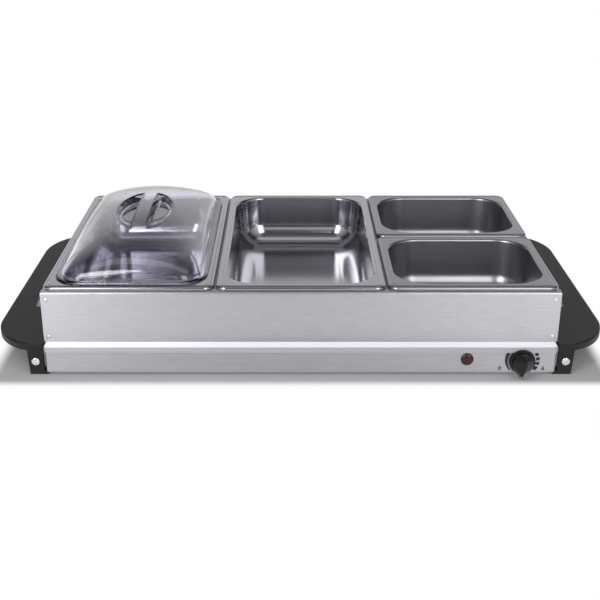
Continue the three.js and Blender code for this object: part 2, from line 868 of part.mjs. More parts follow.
// Handle plan: a curved outer edge, open beside the body where the fingers go
function handlePlan() {
  const inner = -handleInner;
  const outer = inner - handleReach;
  const straight = handleHalfLength - handleCornerLength;
  const slotEdge = inner - slotReach;
  const plan = new THREE.Shape();
  plan.moveTo(inner, handleHalfLength);
  plan.absellipse(inner - handleReach + handleCornerDepth, straight, handleCornerDepth, handleCornerLength,
    Math.PI / 2, Math.PI, false, 0);
  plan.lineTo(outer, -straight);
  plan.absellipse(inner - handleReach + handleCornerDepth, -straight, handleCornerDepth, handleCornerLength,
    Math.PI, 3 * Math.PI / 2, false, 0);
  plan.lineTo(inner, -handleHalfLength);
  plan.lineTo(inner, -slotHalfLength);
  plan.lineTo(slotEdge + slotCorner, -slotHalfLength);
  plan.quadraticCurveTo(slotEdge, -slotHalfLength, slotEdge, slotCorner - slotHalfLength);
  plan.quadraticCurveTo(slotEdge - 2 * slotBulge, 0, slotEdge, slotHalfLength - slotCorner);
  plan.quadraticCurveTo(slotEdge, slotHalfLength, slotEdge + slotCorner, slotHalfLength);
  plan.lineTo(inner, slotHalfLength);
  return plan;
}

// Front leg of the left handle: a tapered post with a toe under the base and a pocket for the ear
function frontLeg() {
  const inner = -handleInner;
  const post = new THREE.Shape();
  post.moveTo(inner, 0);
  post.lineTo(inner, plateTop);
  post.lineTo(inner - legWidth, plateTop);
  post.lineTo(inner - legWidth, plateTop - handleThickness);
  post.lineTo(inner - legWidth + legTaper, 0);
  const rounded = new THREE.ExtrudeGeometry(post, {
    depth: legDepth - 2 * legEdge,
    bevelEnabled: true,
    bevelThickness: legEdge,
    bevelSize: legEdge,
    bevelOffset: -legEdge,
    bevelSegments: 1,
  });
  const back = legFront + legDepth;
  const toe = block(
    point(inner - legWall, legFront + legEdge, 0),
    point(inner + toeReach, legFront + legEdge + toeLength, floorClearance - gap),
  );
  const pocket = block(
    point(inner - legWidth + legWall + legTaper, legFront + legWall, floorClearance + legWall),
    point(inner + overrun, back + overrun, plateTop - handleThickness),
  );
  const hole = rod(screwRadius + gap, -overrun, legWall + overrun, smallSides);
  const x = inner - screwInset;
  return solidOf(rounded.rotateX(Math.PI / 2).translate(0, back - legEdge, 0))
    .add(toe)
    .subtract(pocket)
    .subtract(facingFront(hole, x, legFront + legWall, screwLift));
}

function leftHandle() {
  const plate = solidOf(new THREE.ExtrudeGeometry(handlePlan(), {
    depth: handleThickness - 2 * handleEdge,
    bevelEnabled: true,
    bevelThickness: handleEdge,
    bevelSize: handleEdge,
    bevelOffset: -handleEdge,
    bevelSegments: 2,
    curveSegments: handleSteps,
  })).translate([0, 0, plateTop - handleThickness + handleEdge]);
  const leg = frontLeg();
  return plate.add(leg).add(mirrorY(leg));
}

// Bracket: a strip along the end wall with an ear turned out at each end for a leg screw
function leftBracket() {
  const line = -housingHalfX - bracketSheet / 2;
  const ear = legFront + legWall + gap + bracketSheet / 2;
  const tip = -handleInner - earReach;
  const corners = [[tip, ear], [line, ear], [line, -ear], [tip, -ear]];
  const strip = foldedStrip(corners, bracketSheet, [foldRadius, foldRadius]);
  const low = floorClearance + bracketLift;
  const hole = rod(screwRadius + gap, ear - overrun, ear + overrun, smallSides).rotate([-90, 0, 0]);
  const front = hole.translate([-handleInner - screwInset, 0, screwLift]);
  return risen(strip, low, low + bracketHeight).subtract(front).subtract(mirrorY(front));
}

function legScrew() {
  const screw = turned([
    [0, -screwLength],
    [screwRadius, -screwLength],
    [screwRadius, 0],
    [screwHeadRadius, 0],
    [screwHeadRadius, screwHeadHeight / 3],
    [screwHeadRadius - screwHeadHeight / 3, screwHeadHeight * 5 / 6],
    [screwHeadRadius / 2, screwHeadHeight],
    [0, screwHeadHeight],
  ], mediumSides);
  return facingFront(screw, -handleInner - screwInset, legFront, screwLift);
}

// Holes for the four rivets of one corner pair, through a panel that faces front
function rivetPlaces() {
  const x = frameHalfX - rivetInset;
  const levels = [plateTop + rivetRise, frameTop - rivetDrop];
  return [-x, x].flatMap((column) => levels.map((level) => [column, level]));
}

function rivetHoles() {
  const hole = rod(rivetRadius + gap, -overrun, 2 * sheet + overrun, smallSides);
  return rivetPlaces().map(([x, z]) => facingFront(hole, x, -frameHalfY + 2 * sheet, z));
}

// Long panel of the frame: a web with a rim flange and a foot flange turned inwards
function frontPanel() {
  const web = -frameHalfY + sheet / 2;
  const corners = [
    [-frameHalfY + footFlange, plateTop + sheet / 2],
    [web, plateTop + sheet / 2],
    [web, frameTop - sheet / 2],
    [-frameHalfY + rimFlange, frameTop - sheet / 2],
  ];
  const section = foldedStrip(corners, sheet, [footFoldRadius, foldRadius]);
  let panel = runAlongX(section, -frameHalfX, frameHalfX);
  for (const hole of rivetHoles()) {
    panel = panel.subtract(hole);
  }
  return panel;
}

// Side panel: the same section, cut back at its flanges, with a tab behind each long panel
function leftPanel() {
  const web = -frameHalfX + sheet / 2;
  const corners = [
    [-frameHalfX + footFlange, plateTop + sheet / 2],
    [web, plateTop + sheet / 2],
    [web, frameTop - sheet / 2],
    [-frameHalfX + rimFlange, frameTop - sheet / 2],
  ];
  const channelEnd = frameHalfY - rimFlange - gap;
  const section = foldedStrip(corners, sheet, [footFoldRadius, foldRadius]);
  const channel = runAlongY(section, -channelEnd, channelEnd);
  const webEnd = frameHalfY - sheet;
  const low = plateTop + sheet + gap;
  const high = frameTop - sheet - gap;
  const webSlab = (end, from, to) => block(
    point(-frameHalfX, -end, from),
    point(-frameHalfX + sheet, end, to),
  );
  const tab = block(
    point(-frameHalfX, -webEnd, low + tabMargin),
    point(-frameHalfX + cornerTab, -webEnd + sheet, high - tabMargin),
  );
  let panel = channel
    .add(webSlab(webEnd - foldRadius, low, high))
    .add(webSlab(webEnd, low + tabMargin, high - tabMargin))
    .add(tab)
    .add(mirrorY(tab));
  for (const hole of rivetHoles()) {
    panel = panel.subtract(hole).subtract(mirrorY(hole));
  }
  return panel;
}

// Rivet: a domed head outside, a shank through panel and tab, and a flattened tail
function rivet() {
  const grip = 2 * sheet;
  const profile = [
    [0, -grip - rivetTailHeight],
    [rivetTailRadius, -grip - rivetTailHeight],
    [rivetTailRadius, -grip],
    [rivetRadius, -grip],
    [rivetRadius, 0],
  ];
  for (const [out, up] of quarterRound(foldSteps).reverse()) {
    profile.push([rivetHeadRadius * out, rivetHeadHeight * up]);
  }
  return turned(profile, smallSides).rotate([90, 0, 0]).translate([0, -frameHalfY, 0]);
}

// Divider: an inverted channel between two columns, joggled under the flanges at its ends
function dividerChannel(low, high, tongueLow, tongueHigh) {
  const half = dividerWidth / 2 - sheet / 2;
  const corners = [
    [half, frameTop - dividerDrop],
    [half, frameTop - sheet / 2],
    [-half, frameTop - sheet / 2],
    [-half, frameTop - dividerDrop],
  ];
  const channel = runAlongY(foldedStrip(corners, sheet, [foldRadius, foldRadius]), low, high);
  const tongue = (from, to) => block(
    point(-half, from, frameTop - 2 * sheet),
    point(half, to, frameTop - sheet),
  );
  return channel.add(tongue(tongueLow, low + tongueLap)).add(tongue(high - tongueLap, tongueHigh));
}

function longDivider() {
  const end = frameHalfY - rimFlange - gap;
  const tongue = frameHalfY - sheet - foldRadius;
  return dividerChannel(-end, end, -tongue, tongue);
}

function shortCrossbar() {
  const low = columnPitch / 2 + dividerWidth / 2;
  const high = frameHalfX - rimFlange - gap;
  const tongue = frameHalfX - sheet - foldRadius;
  return dividerChannel(low, high, low, tongue).rotate([0, 0, -90]);
}

// Drawn pan: floor, rounded foot, drafted wall, flange and a lip turned down round its edge
function drawnPan(width, length) {
  const ring = (inset, level, corner) => {
    const [halfX, halfY] = [width / 2 - inset, length / 2 - inset];
    return roundedRing({ halfX, halfY, radius: corner, z: rimTop + level, steps: cornerSteps });
  };
  const wallRing = (inset, level) => {
    return ring(inset, level, Math.max(panMouthCorner + panFlange - inset, smallestRadius));
  };
  const lipRing = (inset, level) => ring(inset, level, panLipCorner - inset);
  const sweep = quarterRound(sweepSteps);
  const fold = quarterRound(foldSteps);
  const footInset = panFlange + panDraft + panFloorRadius;
  const footLevel = panFloorRadius - panDepth;
  const footUnder = panFloorRadius + sheet;
  const mouthInset = panFlange - panMouthRadius;
  const mouthUnder = panMouthRadius - sheet;
  const lipUnder = panLipRadius - sheet;
  return loft([
    ...sweep.map(([out, up]) => wallRing(footInset - panFloorRadius * out, footLevel - panFloorRadius * up)),
    ...fold.map(([out, up]) => wallRing(mouthInset + panMouthRadius * up, panMouthRadius * (out - 1))),
    ...fold.map(([out, up]) => lipRing(panLipRadius * (1 - out), panLipRadius * (up - 1))),
    lipRing(panLipTuck, -panLip),
    lipRing(panLipTuck + sheet, -panLip),
    ...fold.map(([out, up]) => lipRing(panLipRadius - lipUnder * up, lipUnder * out - panLipRadius)),
    ...fold.map(([out, up]) => wallRing(mouthInset + mouthUnder * out, mouthUnder * up - panMouthRadius)),
    ...sweep.map(([out, up]) => wallRing(footInset - footUnder * up, footLevel - footUnder * out)),
  ]);
}

// One skin of the lid's dome as a solid, crowned both ways and steep round its shoulder
function domeSolid(inset, low, seat) {
  const halfX = panWidth / 2 - lidInset - lidFlange - inset;
  const halfY = panLength / 2 - lidInset - lidFlange - inset;
  const radius = lidCorner - lidFlange - inset;
  const foot = sidedRing(roundedRing({ halfX, halfY, radius, z: low, steps: cornerSteps }));
  const rings = domeShares.map((share) => foot.map((corner) => {
    const x = corner.x * share;
    const y = corner.y * share;
    const across = 1 - crownAcrossShare * (x / halfX) ** 2;
    const along = 1 - crownAlongShare * (y / halfY) ** 2;
    const shoulder = Math.sqrt(1 - share ** shoulderPower);
    return point(x, y, seat + lidRise * across * along * shoulder);
  }));
  return loft([...rings, foot]);
}

// Right-hand finger well of the lid's grip: a half oval beside the bar, drafted to a rounded floor
function fingerWell(grow, floor) {
  const ring = (inset, z) => {
    const across = gripAcross + grow - inset;
    const along = gripAlong + grow - inset;
    const limit = Math.acos((gripBar / 2 - grow + inset) / across);
    const points = [];
    for (let step = 0; step <= wellSteps; step += 1) {
      const angle = limit * (2 * step / wellSteps - 1);
      points.push(point(across * Math.cos(angle), along * Math.sin(angle), z));
    }
    return points;
  };
  return loft([
    ring(0, rimTop + lidWall + lidRise + overrun),
    ring(wellDraft, floor + wellFloorRadius),
    ring(wellDraft + wellFloorRadius, floor),
  ]);
}

// Lid: a clear dome on a flat flange, its grip a bar between two sunken finger wells
function clearLid() {
  const seat = rimTop + lidWall;
  const ring = (inset, z) => roundedRing({
    halfX: panWidth / 2 - lidInset - inset,
    halfY: panLength / 2 - lidInset - inset,
    radius: lidCorner - inset,
    z,
    steps: cornerSteps,
  });
  const edge = lidWall / 3;
  const flange = loft([ring(edge, seat), ring(0, seat - edge), ring(0, rimTop)]);
  const floor = seat + lidRise - wellDepth;
  const well = fingerWell(0, floor);
  const wellSkin = fingerWell(lidWall, floor - lidWall);
  const outside = domeSolid(0, rimTop, seat).add(flange).subtract(well).subtract(mirrorX(well));
  const inside = domeSolid(lidWall, rimTop - overrun, rimTop).subtract(wellSkin).subtract(mirrorX(wellSkin));
  return outside.subtract(inside);
}

// Assembly: the base, then the frame that lifts off it, then what stands in the frame
const server = new THREE.Group();
server.position.y = -(knobFront + glandBack) / 2;

const base = new THREE.Group();
base.add(
  named("warming_plate", warmingPlate(), brushedSteel),
  named("base_housing", baseHousing(), brushedSteel),
  named("bottom_cover", bottomCover(), zincSteel),
  named("heating_element", heatingElement(), heaterSheath),
  named("heat_reflector", heatReflector(), zincSteel),
  named("thermal_cutout", thermalCutout(), zincSteel),
  named("thermostat_body", thermostatBody(), greyPlastic),
  named("thermostat_nut", thermostatNut(), zincSteel),
  named("indicator_lens", indicatorLens(), redLens),
  named("indicator_holder", indicatorHolder(), greyPlastic),
  named("cord_gland", cordGland(), blackPhenolic),
  named("terminal_block", terminalBlock(), whiteCeramic),
  named("handle_left", leftHandle(), blackPhenolic),
  named("handle_right", mirrorX(leftHandle()), blackPhenolic),
  named("handle_bracket_left", leftBracket(), zincSteel),
  named("handle_bracket_right", mirrorX(leftBracket()), zincSteel),
);
for (let run = 0; run < elementRuns; run += 1) {
  base.add(named(`element_clip_${run + 1}`, elementClip(run), zincSteel));
}
coverScrewPlaces().forEach(([x, y], index) => {
  base.add(named(`cover_screw_${index + 1}`, coverScrew().translate([x, y, 0]), zincSteel));
});
const frontLeftScrew = legScrew();
base.add(
  named("leg_screw_front_left", frontLeftScrew, zincSteel),
  named("leg_screw_front_right", mirrorX(frontLeftScrew), zincSteel),
  named("leg_screw_rear_left", mirrorY(frontLeftScrew), zincSteel),
  named("leg_screw_rear_right", mirrorX(mirrorY(frontLeftScrew)), zincSteel),
);

const knob = new THREE.Group();
knob.add(
  named("control_knob", controlKnob(), blackPhenolic),
  named("thermostat_shaft", thermostatShaft(), zincSteel),
);

const frame = new THREE.Group();
frame.position.y = frameY;
frame.add(
  named("frame_front", frontPanel(), brushedSteel),
  named("frame_rear", mirrorY(frontPanel()), brushedSteel),
  named("frame_left", leftPanel(), brushedSteel),
  named("frame_right", mirrorX(leftPanel()), brushedSteel),
  named("divider_left", longDivider().translate([-columnPitch / 2, 0, 0]), zincSteel),
  named("divider_right", longDivider().translate([columnPitch / 2, 0, 0]), zincSteel),
  named("divider_short", shortCrossbar(), zincSteel),
);
rivetPlaces().forEach(([x, z], index) => {
  const front = rivet().translate([x, 0, z]);
  frame.add(named(`rivet_front_${index + 1}`, front, brushedSteel));
  frame.add(named(`rivet_rear_${index + 1}`, mirrorY(front), brushedSteel));
});

const panLeft = named("pan_left", drawnPan(panWidth, panLength), drawnSteel);
const panMiddle = named("pan_middle", drawnPan(panWidth, panLength), drawnSteel);
const panSmallFront = named("pan_small_front", drawnPan(panWidth, smallPanLength), drawnSteel);
const panSmallRear = named("pan_small_rear", drawnPan(panWidth, smallPanLength), drawnSteel);
const lid = named("lid", clearLid(), clearPlastic);
panLeft.position.set(-columnPitch, 0, 0);
lid.position.set(-columnPitch, 0, 0);
panSmallFront.position.set(columnPitch, -(smallPanLength + panGap) / 2, 0);
panSmallRear.position.set(columnPitch, (smallPanLength + panGap) / 2, 0);
frame.add(panLeft, panMiddle, panSmallFront, panSmallRear, lid);

server.add(base, knob, frame);

export default server;
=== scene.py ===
"""Finished pieces and studio stage of a buffet server, built round its packed frame."""

import json
from math import acos, copysign, cos, pi, radians, sin, sqrt

import bpy
from mathutils import Matrix, Vector


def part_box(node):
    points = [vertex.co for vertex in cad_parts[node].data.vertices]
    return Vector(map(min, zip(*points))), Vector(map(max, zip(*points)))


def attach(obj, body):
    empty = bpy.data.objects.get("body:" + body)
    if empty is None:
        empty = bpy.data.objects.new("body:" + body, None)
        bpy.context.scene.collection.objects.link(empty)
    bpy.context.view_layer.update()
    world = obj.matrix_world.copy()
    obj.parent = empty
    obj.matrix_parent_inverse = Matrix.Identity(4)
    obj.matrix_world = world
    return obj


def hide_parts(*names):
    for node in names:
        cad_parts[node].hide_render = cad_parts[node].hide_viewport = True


bl_info = {
    "name": "Buffet Server",
    "version": (1, 0, 0),
    "blender": (4, 5, 0),
    "location": "View3D > Sidebar > Buffet Server",
    "description": "Builds a buffet server's finished pieces and its studio stage round the packed frame",
    "category": "Object",
}

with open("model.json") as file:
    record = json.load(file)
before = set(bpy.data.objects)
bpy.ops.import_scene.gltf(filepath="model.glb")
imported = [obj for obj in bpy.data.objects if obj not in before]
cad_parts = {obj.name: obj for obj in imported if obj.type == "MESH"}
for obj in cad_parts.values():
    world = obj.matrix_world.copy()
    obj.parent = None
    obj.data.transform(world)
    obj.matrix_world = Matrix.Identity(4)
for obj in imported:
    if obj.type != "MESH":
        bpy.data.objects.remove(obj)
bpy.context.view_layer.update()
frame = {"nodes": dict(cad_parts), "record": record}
MM = 0.001

# Places that the frame gives, in metres
PLATE_LOW, PLATE_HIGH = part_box("warming_plate")
HOUSING_LOW, HOUSING_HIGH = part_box("base_housing")
PANEL_LOW, PANEL_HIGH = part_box("frame_left")
BASE_Y = (PLATE_LOW.y + PLATE_HIGH.y) / 2
FRAME_Y = (PANEL_LOW.y + PANEL_HIGH.y) / 2
BASE_HALF_X = PLATE_HIGH.x
BASE_HALF_Y = (PLATE_HIGH.y - PLATE_LOW.y) / 2
HOUSING_HALF_X = HOUSING_HIGH.x
HOUSING_HALF_Y = (HOUSING_HIGH.y - HOUSING_LOW.y) / 2
PLATE_TOP = PANEL_LOW.z
FRAME_TOP = PANEL_HIGH.z
FRAME_HALF_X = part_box("frame_front")[1].x
FRAME_HALF_Y = FRAME_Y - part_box("frame_front")[0].y
PANS = {
    "pan_left": "left_pan",
    "pan_middle": "middle_pan",
    "pan_small_front": "small_front_pan",
    "pan_small_rear": "small_rear_pan",
}
GAP = 0.3 * MM
LEFT_FOR_RIGHT = Matrix.Diagonal((-1, 1, 1, 1))

# Steps of the round stretches
CORNER_STEPS = 12
FOLD_STEPS = 5
SWEEP_STEPS = 12
ROUND_SIDES = 64


def linear(hex_colour):
    """An sRGB hex value as linear red, green and blue."""
    channels = [int(hex_colour[i:i + 2], 16) / 255 for i in (1, 3, 5)]
    return tuple(c / 12.92 if c <= 0.04045 else ((c + 0.055) / 1.055) ** 2.4 for c in channels)


def length(name, description, millimetres, least=0):
    """A length that a user can change."""
    return bpy.props.FloatProperty(
        name=name, description=description, default=millimetres * MM, min=least, unit="LENGTH", precision=4)


def colour(name, description, hex_colour):
    """A colour that a user can change."""
    return bpy.props.FloatVectorProperty(
        name=name, description=description, default=linear(hex_colour), min=0, max=1, subtype="COLOR")


def group(kind, name):
    """The settings of one group of pieces."""
    return bpy.props.PointerProperty(name=name, description=kind.__doc__, type=kind)


def share(name, description, value, top=1.0):
    """A plain number that a user can change."""
    return bpy.props.FloatProperty(name=name, description=description, default=value, min=0, max=top)


class SteelSettings(bpy.types.PropertyGroup):
    """Sheet metal of the base and the frame."""

    sheet: length("Sheet", "Thickness of the sheet", 1)
    fold: length("Fold", "Inside radius of a fold", 1.2)
    plate_edge: length("Plate edge", "Radius where the warming plate folds down", 3)
    brushed: colour("Brushed steel", "Colour of the brushed sheet", "#C6C5CA")
    drawn: colour("Drawn steel", "Colour of the drawn pans", "#ABA9AF")
    zinc: colour("Zinc", "Colour of zinc-plated sheet and screws", "#A9ABAD")
    grain: length("Grain", "Width of a brush line", 0.9)


class PanSettings(bpy.types.PropertyGroup):
    """Drawn pans."""

    depth: length("Depth", "Depth from rim to floor", 56)
    flange: length("Flange", "Width of the rim at the ends", 12.5)
    side_flange: length("Side flange", "Width of the rim along the sides", 9.3)
    mouth_corner: length("Mouth corner", "Corner radius of the mouth", 36)
    mouth_radius: length("Mouth radius", "Radius where the rim turns into the wall", 2.5)
    draft: length("Draft", "How far the wall leans in over the depth", 3.2)
    floor_radius: length("Floor radius", "Radius between wall and floor", 26)
    small_floor_radius: length("Small floor radius", "The same radius in the small pans", 18)
    lip: length("Lip", "Height of the rolled edge", 4.7)
    lip_corner: length("Lip corner", "Corner radius of the outer edge", 11)
    valley: length("Valley", "How far in from the edge the rim dips towards its lip", 5.2)


class LidSettings(bpy.types.PropertyGroup):
    """Clear lid."""

    wall: length("Wall", "Wall thickness", 2)
    corner: length("Corner", "Corner radius of the flange", 29)
    flange: length("Flange", "Width of the flat flange", 6.5)
    rise: length("Rise", "Height of the dome above its flange", 36)
    across: share("Crown across", "Drop of the crown towards the long sides", 0.55)
    along: share("Crown along", "Drop of the crown towards the ends", 0.49)
    shoulder: share("Shoulder", "Power of the shoulder's curve", 12, 40)
    grip_across: length("Grip across", "Half width of the oval grip", 31.8)
    grip_along: length("Grip along", "Half length of the oval grip", 58.5)
    bar: length("Grip bar", "Width of the bar between the wells", 15.2)
    well_depth: length("Well depth", "Depth of the finger wells", 11.5)
    tint: colour("Tint", "Colour of the clear plastic", "#EBEBF5")


class HandleSettings(bpy.types.PropertyGroup):
    """Moulded side handles."""

    thickness: length("Thickness", "Thickness of the handle plate", 8.5)
    edge: length("Edge", "Radius of the moulded edge", 1.5)
    half_length: length("Half length", "Half of the handle's length", 175.5)
    corner_length: length("Corner length", "Length of the curved corner", 66.5)
    corner_depth: length("Corner depth", "Depth of the curved corner", 54.5)
    slot_half: length("Slot", "Half length of the hand slot", 73)
    slot_reach: length("Slot reach", "Width of the hand slot at its ends", 31)
    slot_bulge: length("Slot bulge", "Extra width of the slot at its middle", 4.5)
    tone: colour("Tone", "Colour of the moulded plastic", "#101012")


class KnobSettings(bpy.types.PropertyGroup):
    """Control knob and its printed scale."""

    skirt_radius: length("Skirt radius", "Radius of the skirt", 13.5)
    skirt_height: length("Skirt height", "Height of the skirt", 2.6)
    body_radius: length("Body radius", "Radius of the grip's round end", 11)
    pointer: length("Pointer", "Reach of the pointer from the axis", 16.2)
    reach: length("Reach", "Height of the knob", 15)
    crest_width: length("Crest width", "Width of the grip's crest", 4.4)
    crest_front: length("Crest front", "Reach of the crest towards the pointer", 11)
    crest_back: length("Crest back", "Reach of the crest the other way", 8.6)
    scale_radius: length("Scale radius", "Radius of the printed scale", 17.7)
    tone: colour("Tone", "Colour of the knob", "#0C0C0E")
    ink: colour("Ink", "Colour of the printed scale", "#17171A")


class StageSettings(bpy.types.PropertyGroup):
    """Camera, lamps and floor."""

    lens: share("Lens", "Focal length in millimetres", 63.13, 500)
    tilt: bpy.props.FloatProperty(
        name="Tilt", description="How far the camera looks down", subtype="ANGLE",
        default=radians(22.52))
    camera_x: length("Camera to the side", "Place of the camera sideways", -10.8, -10)
    camera_y: length("Camera distance", "Place of the camera in front", -1163.1, -10)
    camera_z: length("Camera height", "Height of the camera", 494.5)
    floor: colour("Floor", "Colour of the floor", "#AEAEB1")
    shadow_reach: length("Shadow reach", "How far the object's shadow reaches on the floor", 24)
    left_box: share("Left soft box", "Power of the tall lamp on the left in watts", 11.5, 500)
    right_box: share("Right soft box", "Power of the tall lamp on the right in watts", 7.2, 500)
    top_panel: share("Top panel", "Power of the wide panel overhead in watts", 1.6, 500)
    dome: share("Room light", "Strength of the light from the front half of the room", 0.8, 5)


class ServerSettings(bpy.types.PropertyGroup):
    """All settings of the buffet server."""

    steel: group(SteelSettings, "Steel")
    pan: group(PanSettings, "Pans")
    lid: group(LidSettings, "Lid")
    handle: group(HandleSettings, "Handles")
    knob: group(KnobSettings, "Knob")
    stage: group(StageSettings, "Stage")


# Mesh building


def rounded_ring(half_x, half_y, radius, z, centre=(0, 0), parts=(1, 1)):
    """Points of a rounded rectangle, counter-clockwise from above, with its straight sides in parts."""
    corners = []
    for quarter, (side_x, side_y) in enumerate(((1, 1), (-1, 1), (-1, -1), (1, -1))):
        middle = Vector((centre[0] + side_x * (half_x - radius), centre[1] + side_y * (half_y - radius), z))
        for step in range(CORNER_STEPS + 1):
            angle = (quarter + step / CORNER_STEPS) * pi / 2
            corners.append(middle + radius * Vector((cos(angle), sin(angle), 0)))
    ring = []
    for index, here in enumerate(corners):
        ring.append(here)
        if (index + 1) % (CORNER_STEPS + 1) == 0:
            following = corners[(index + 1) % len(corners)]
            count = parts[(index // (CORNER_STEPS + 1)) % 2]
            ring += [here.lerp(following, part / count) for part in range(1, count)]
    return ring


def rings_inside(half_x, half_y, corner, centre=(0, 0), base=0.0, least=0.3 * MM):
    """A function that gives the ring at a distance inside a rounded rectangle, at a height over a base."""
    def ring(inset, z):
        radius = max(corner - inset, least)
        return rounded_ring(half_x - inset, half_y - inset, radius, base + z, centre)

    return ring


def quarter_round(steps=FOLD_STEPS):
    """Pairs of shares that run from (0, 1) to (1, 0) along a quarter circle."""
    angles = [step / steps * pi / 2 for step in range(steps + 1)]
    return [(sin(angle), cos(angle)) for angle in angles]


def swept(ring, inset, level, across, rise, swapped=False, steps=FOLD_STEPS):
    """Rings along a quarter circle round an inset and a level; swapped runs it from the upright end."""
    pairs = [(up, out) if swapped else (out, up) for out, up in quarter_round(steps)]
    return [ring(inset + across * out, level + rise * up) for out, up in pairs]


def slab(ring, edge, low, high, steps=FOLD_STEPS):
    """Rings of a flat body with rounded edges, from its upper face down to its lower one."""
    upper = swept(ring, edge, high - edge, -edge, edge, steps=steps)
    return upper + swept(ring, edge, low + edge, -edge, -edge, True, steps)


def new_object(name, data):
    """An object in the scene that carries some data."""
    made = bpy.data.objects.new(name, data)
    bpy.context.scene.collection.objects.link(made)
    return made


def new_piece(name, vertices, faces):
    """An object from points and faces, with points that fall together joined."""
    mesh = bpy.data.meshes.new(name)
    mesh.from_pydata(vertices, [], faces)
    mesh.validate()
    piece = new_object(name, mesh)
    weld = piece.modifiers.new("Weld", "WELD")
    weld.merge_threshold = 1e-6
    return apply_modifiers(piece)


def apply_modifiers(piece):
    """The piece with its modifiers worked into its mesh."""
    shape = piece.evaluated_get(bpy.context.evaluated_depsgraph_get())
    mesh = bpy.data.meshes.new_from_object(shape)
    piece.modifiers.clear()
    piece.data = mesh
    return piece


def skin(name, rings, looped=False):
    """A skin over rings of equal count, from the top inwards face round to the underside."""
    count = len(rings[0])
    spans = len(rings) if looped else len(rings) - 1
    faces = []
    for span in range(spans):
        upper = span * count
        lower = (span + 1) % len(rings) * count
        for j in range(count):
            k = (j + 1) % count
            faces.append((upper + j, lower + j, lower + k, upper + k))
    if not looped:
        last = (len(rings) - 1) * count
        faces.append(tuple(range(count)))
        faces.append(tuple(reversed(range(last, last + count))))
    return new_piece(name, [point for ring in rings for point in ring], faces)


def prism(name, outline, low, high, lay):
    """A flat outline run from one place to another; lay turns its two numbers and the place into a point."""
    return face_outwards(skin(name, [[lay(a, b, place) for a, b in outline] for place in (low, high)]))


def face_outwards(piece):
    """Turns a closed mesh's faces out where they point in."""
    mesh = piece.data
    volume = 0
    for polygon in mesh.polygons:
        corners = [mesh.vertices[index].co for index in polygon.vertices]
        for second, third in zip(corners[1:], corners[2:]):
            volume += corners[0].dot(second.cross(third))
    if volume < 0:
        mesh.flip_normals()
    return piece


def box(name, low, high):
    """A block between two corners."""
    outline = [(low[0], low[1]), (high[0], low[1]), (high[0], high[1]), (low[0], high[1])]
    return prism(name, outline, low[2], high[2], lambda a, b, place: Vector((a, b, place)))


def turned(name, profile, sides=ROUND_SIDES):
    """A profile of radius and height, from the axis to the axis, turned about Z."""
    angles = [side / sides * 2 * pi for side in range(sides)]
    return face_outwards(skin(name, [
        [Vector((radius * cos(a), radius * sin(a), height)) for a in angles] for radius, height in profile]))


def combine(piece, others, operation):
    """Joins or cuts a piece with others, which are used up."""
    for other in others:
        step = piece.modifiers.new("Combine", "BOOLEAN")
        step.operation = operation
        step.solver = "EXACT"
        step.object = other
        apply_modifiers(piece)
        bpy.data.objects.remove(other)
    return piece


def moved(piece, matrix):
    """A piece with its mesh carried to another place."""
    piece.data.transform(matrix)
    if matrix.determinant() < 0:
        piece.data.flip_normals()
    return piece


def facing_front(x, y, z, turn=0.0):
    """The matrix that turns a piece about its own +Z and lays that along -Y, out of the front."""
    tipped = Matrix.Rotation(pi / 2, 4, "X") @ Matrix.Rotation(turn, 4, "Z")
    return Matrix.Translation((x, y, z)) @ tipped


def back_for_front(y):
    """The matrix that mirrors Y about a depth."""
    return Matrix.Translation((0, 2 * y, 0)) @ Matrix.Diagonal((1, -1, 1, 1))


def copied(piece, name, matrix):
    """A second piece with the same shape, carried to another place."""
    return moved(new_object(name, piece.data.copy()), matrix)


def bevelled(piece):
    """A sheet piece with its sharp edges rounded by a modifier."""
    bevel = piece.modifiers.new("Bevel", "BEVEL")
    bevel.width = 0.35 * MM
    bevel.segments = 2
    bevel.limit_method = "ANGLE"
    return piece


def settle(piece, material, body, replaced=(), sharp=35):
    """Gives a finished piece its shading, material and body, and hides the nodes that it stands for."""
    piece.data.shade_smooth()
    piece.data.set_sharp_from_angle(angle=radians(sharp))
    normals = piece.modifiers.new("Weighted normals", "WEIGHTED_NORMAL")
    normals.keep_sharp = True
    piece.data.materials.clear()
    piece.data.materials.append(material)
    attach(piece, body)
    if replaced:
        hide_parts(*replaced)
    return piece


# Materials


def add(tree, kind, inputs=(), output=0, **settings):
    """Adds a shader node, sets or links its inputs by name or in order, and gives back one of its outputs."""
    made = tree.nodes.new("ShaderNode" + kind)
    for name, value in settings.items():
        setattr(made, name, value)
    for name, value in inputs.items() if isinstance(inputs, dict) else enumerate(inputs):
        socket = made.inputs[name]
        if isinstance(value, bpy.types.NodeSocket):
            tree.links.new(value, socket)
        else:
            socket.default_value = value
    return made.outputs[output] if made.outputs else None


def new_material(name):
    """The material of that name, and its empty tree if it is new."""
    found = bpy.data.materials.get(name)
    if found:
        return found, None
    material = bpy.data.materials.new(name)
    material.use_nodes = True
    material.node_tree.nodes.clear()
    return material, material.node_tree


def shaded(base, factor):
    """A colour made darker or lighter."""
    return tuple(min(1.0, channel * factor) for channel in base)


def blend(by, dark, light):
    """The inputs of a mix from one colour to another by a pattern."""
    return {"Factor": by, "A": (*dark, 1), "B": (*light, 1)}


def pattern(tree, size, stretch=(1, 1, 1), kind="TexNoise", output=0, **inputs):
    """A pattern from 0 to 1 in the object's own coordinates, with blobs or cells about size metres wide."""
    place = add(tree, "TexCoord", output="Object")
    laid = add(tree, "Mapping", {"Vector": place, "Scale": stretch})
    return add(tree, kind, {"Vector": laid, "Scale": 1 / size, **inputs}, output)


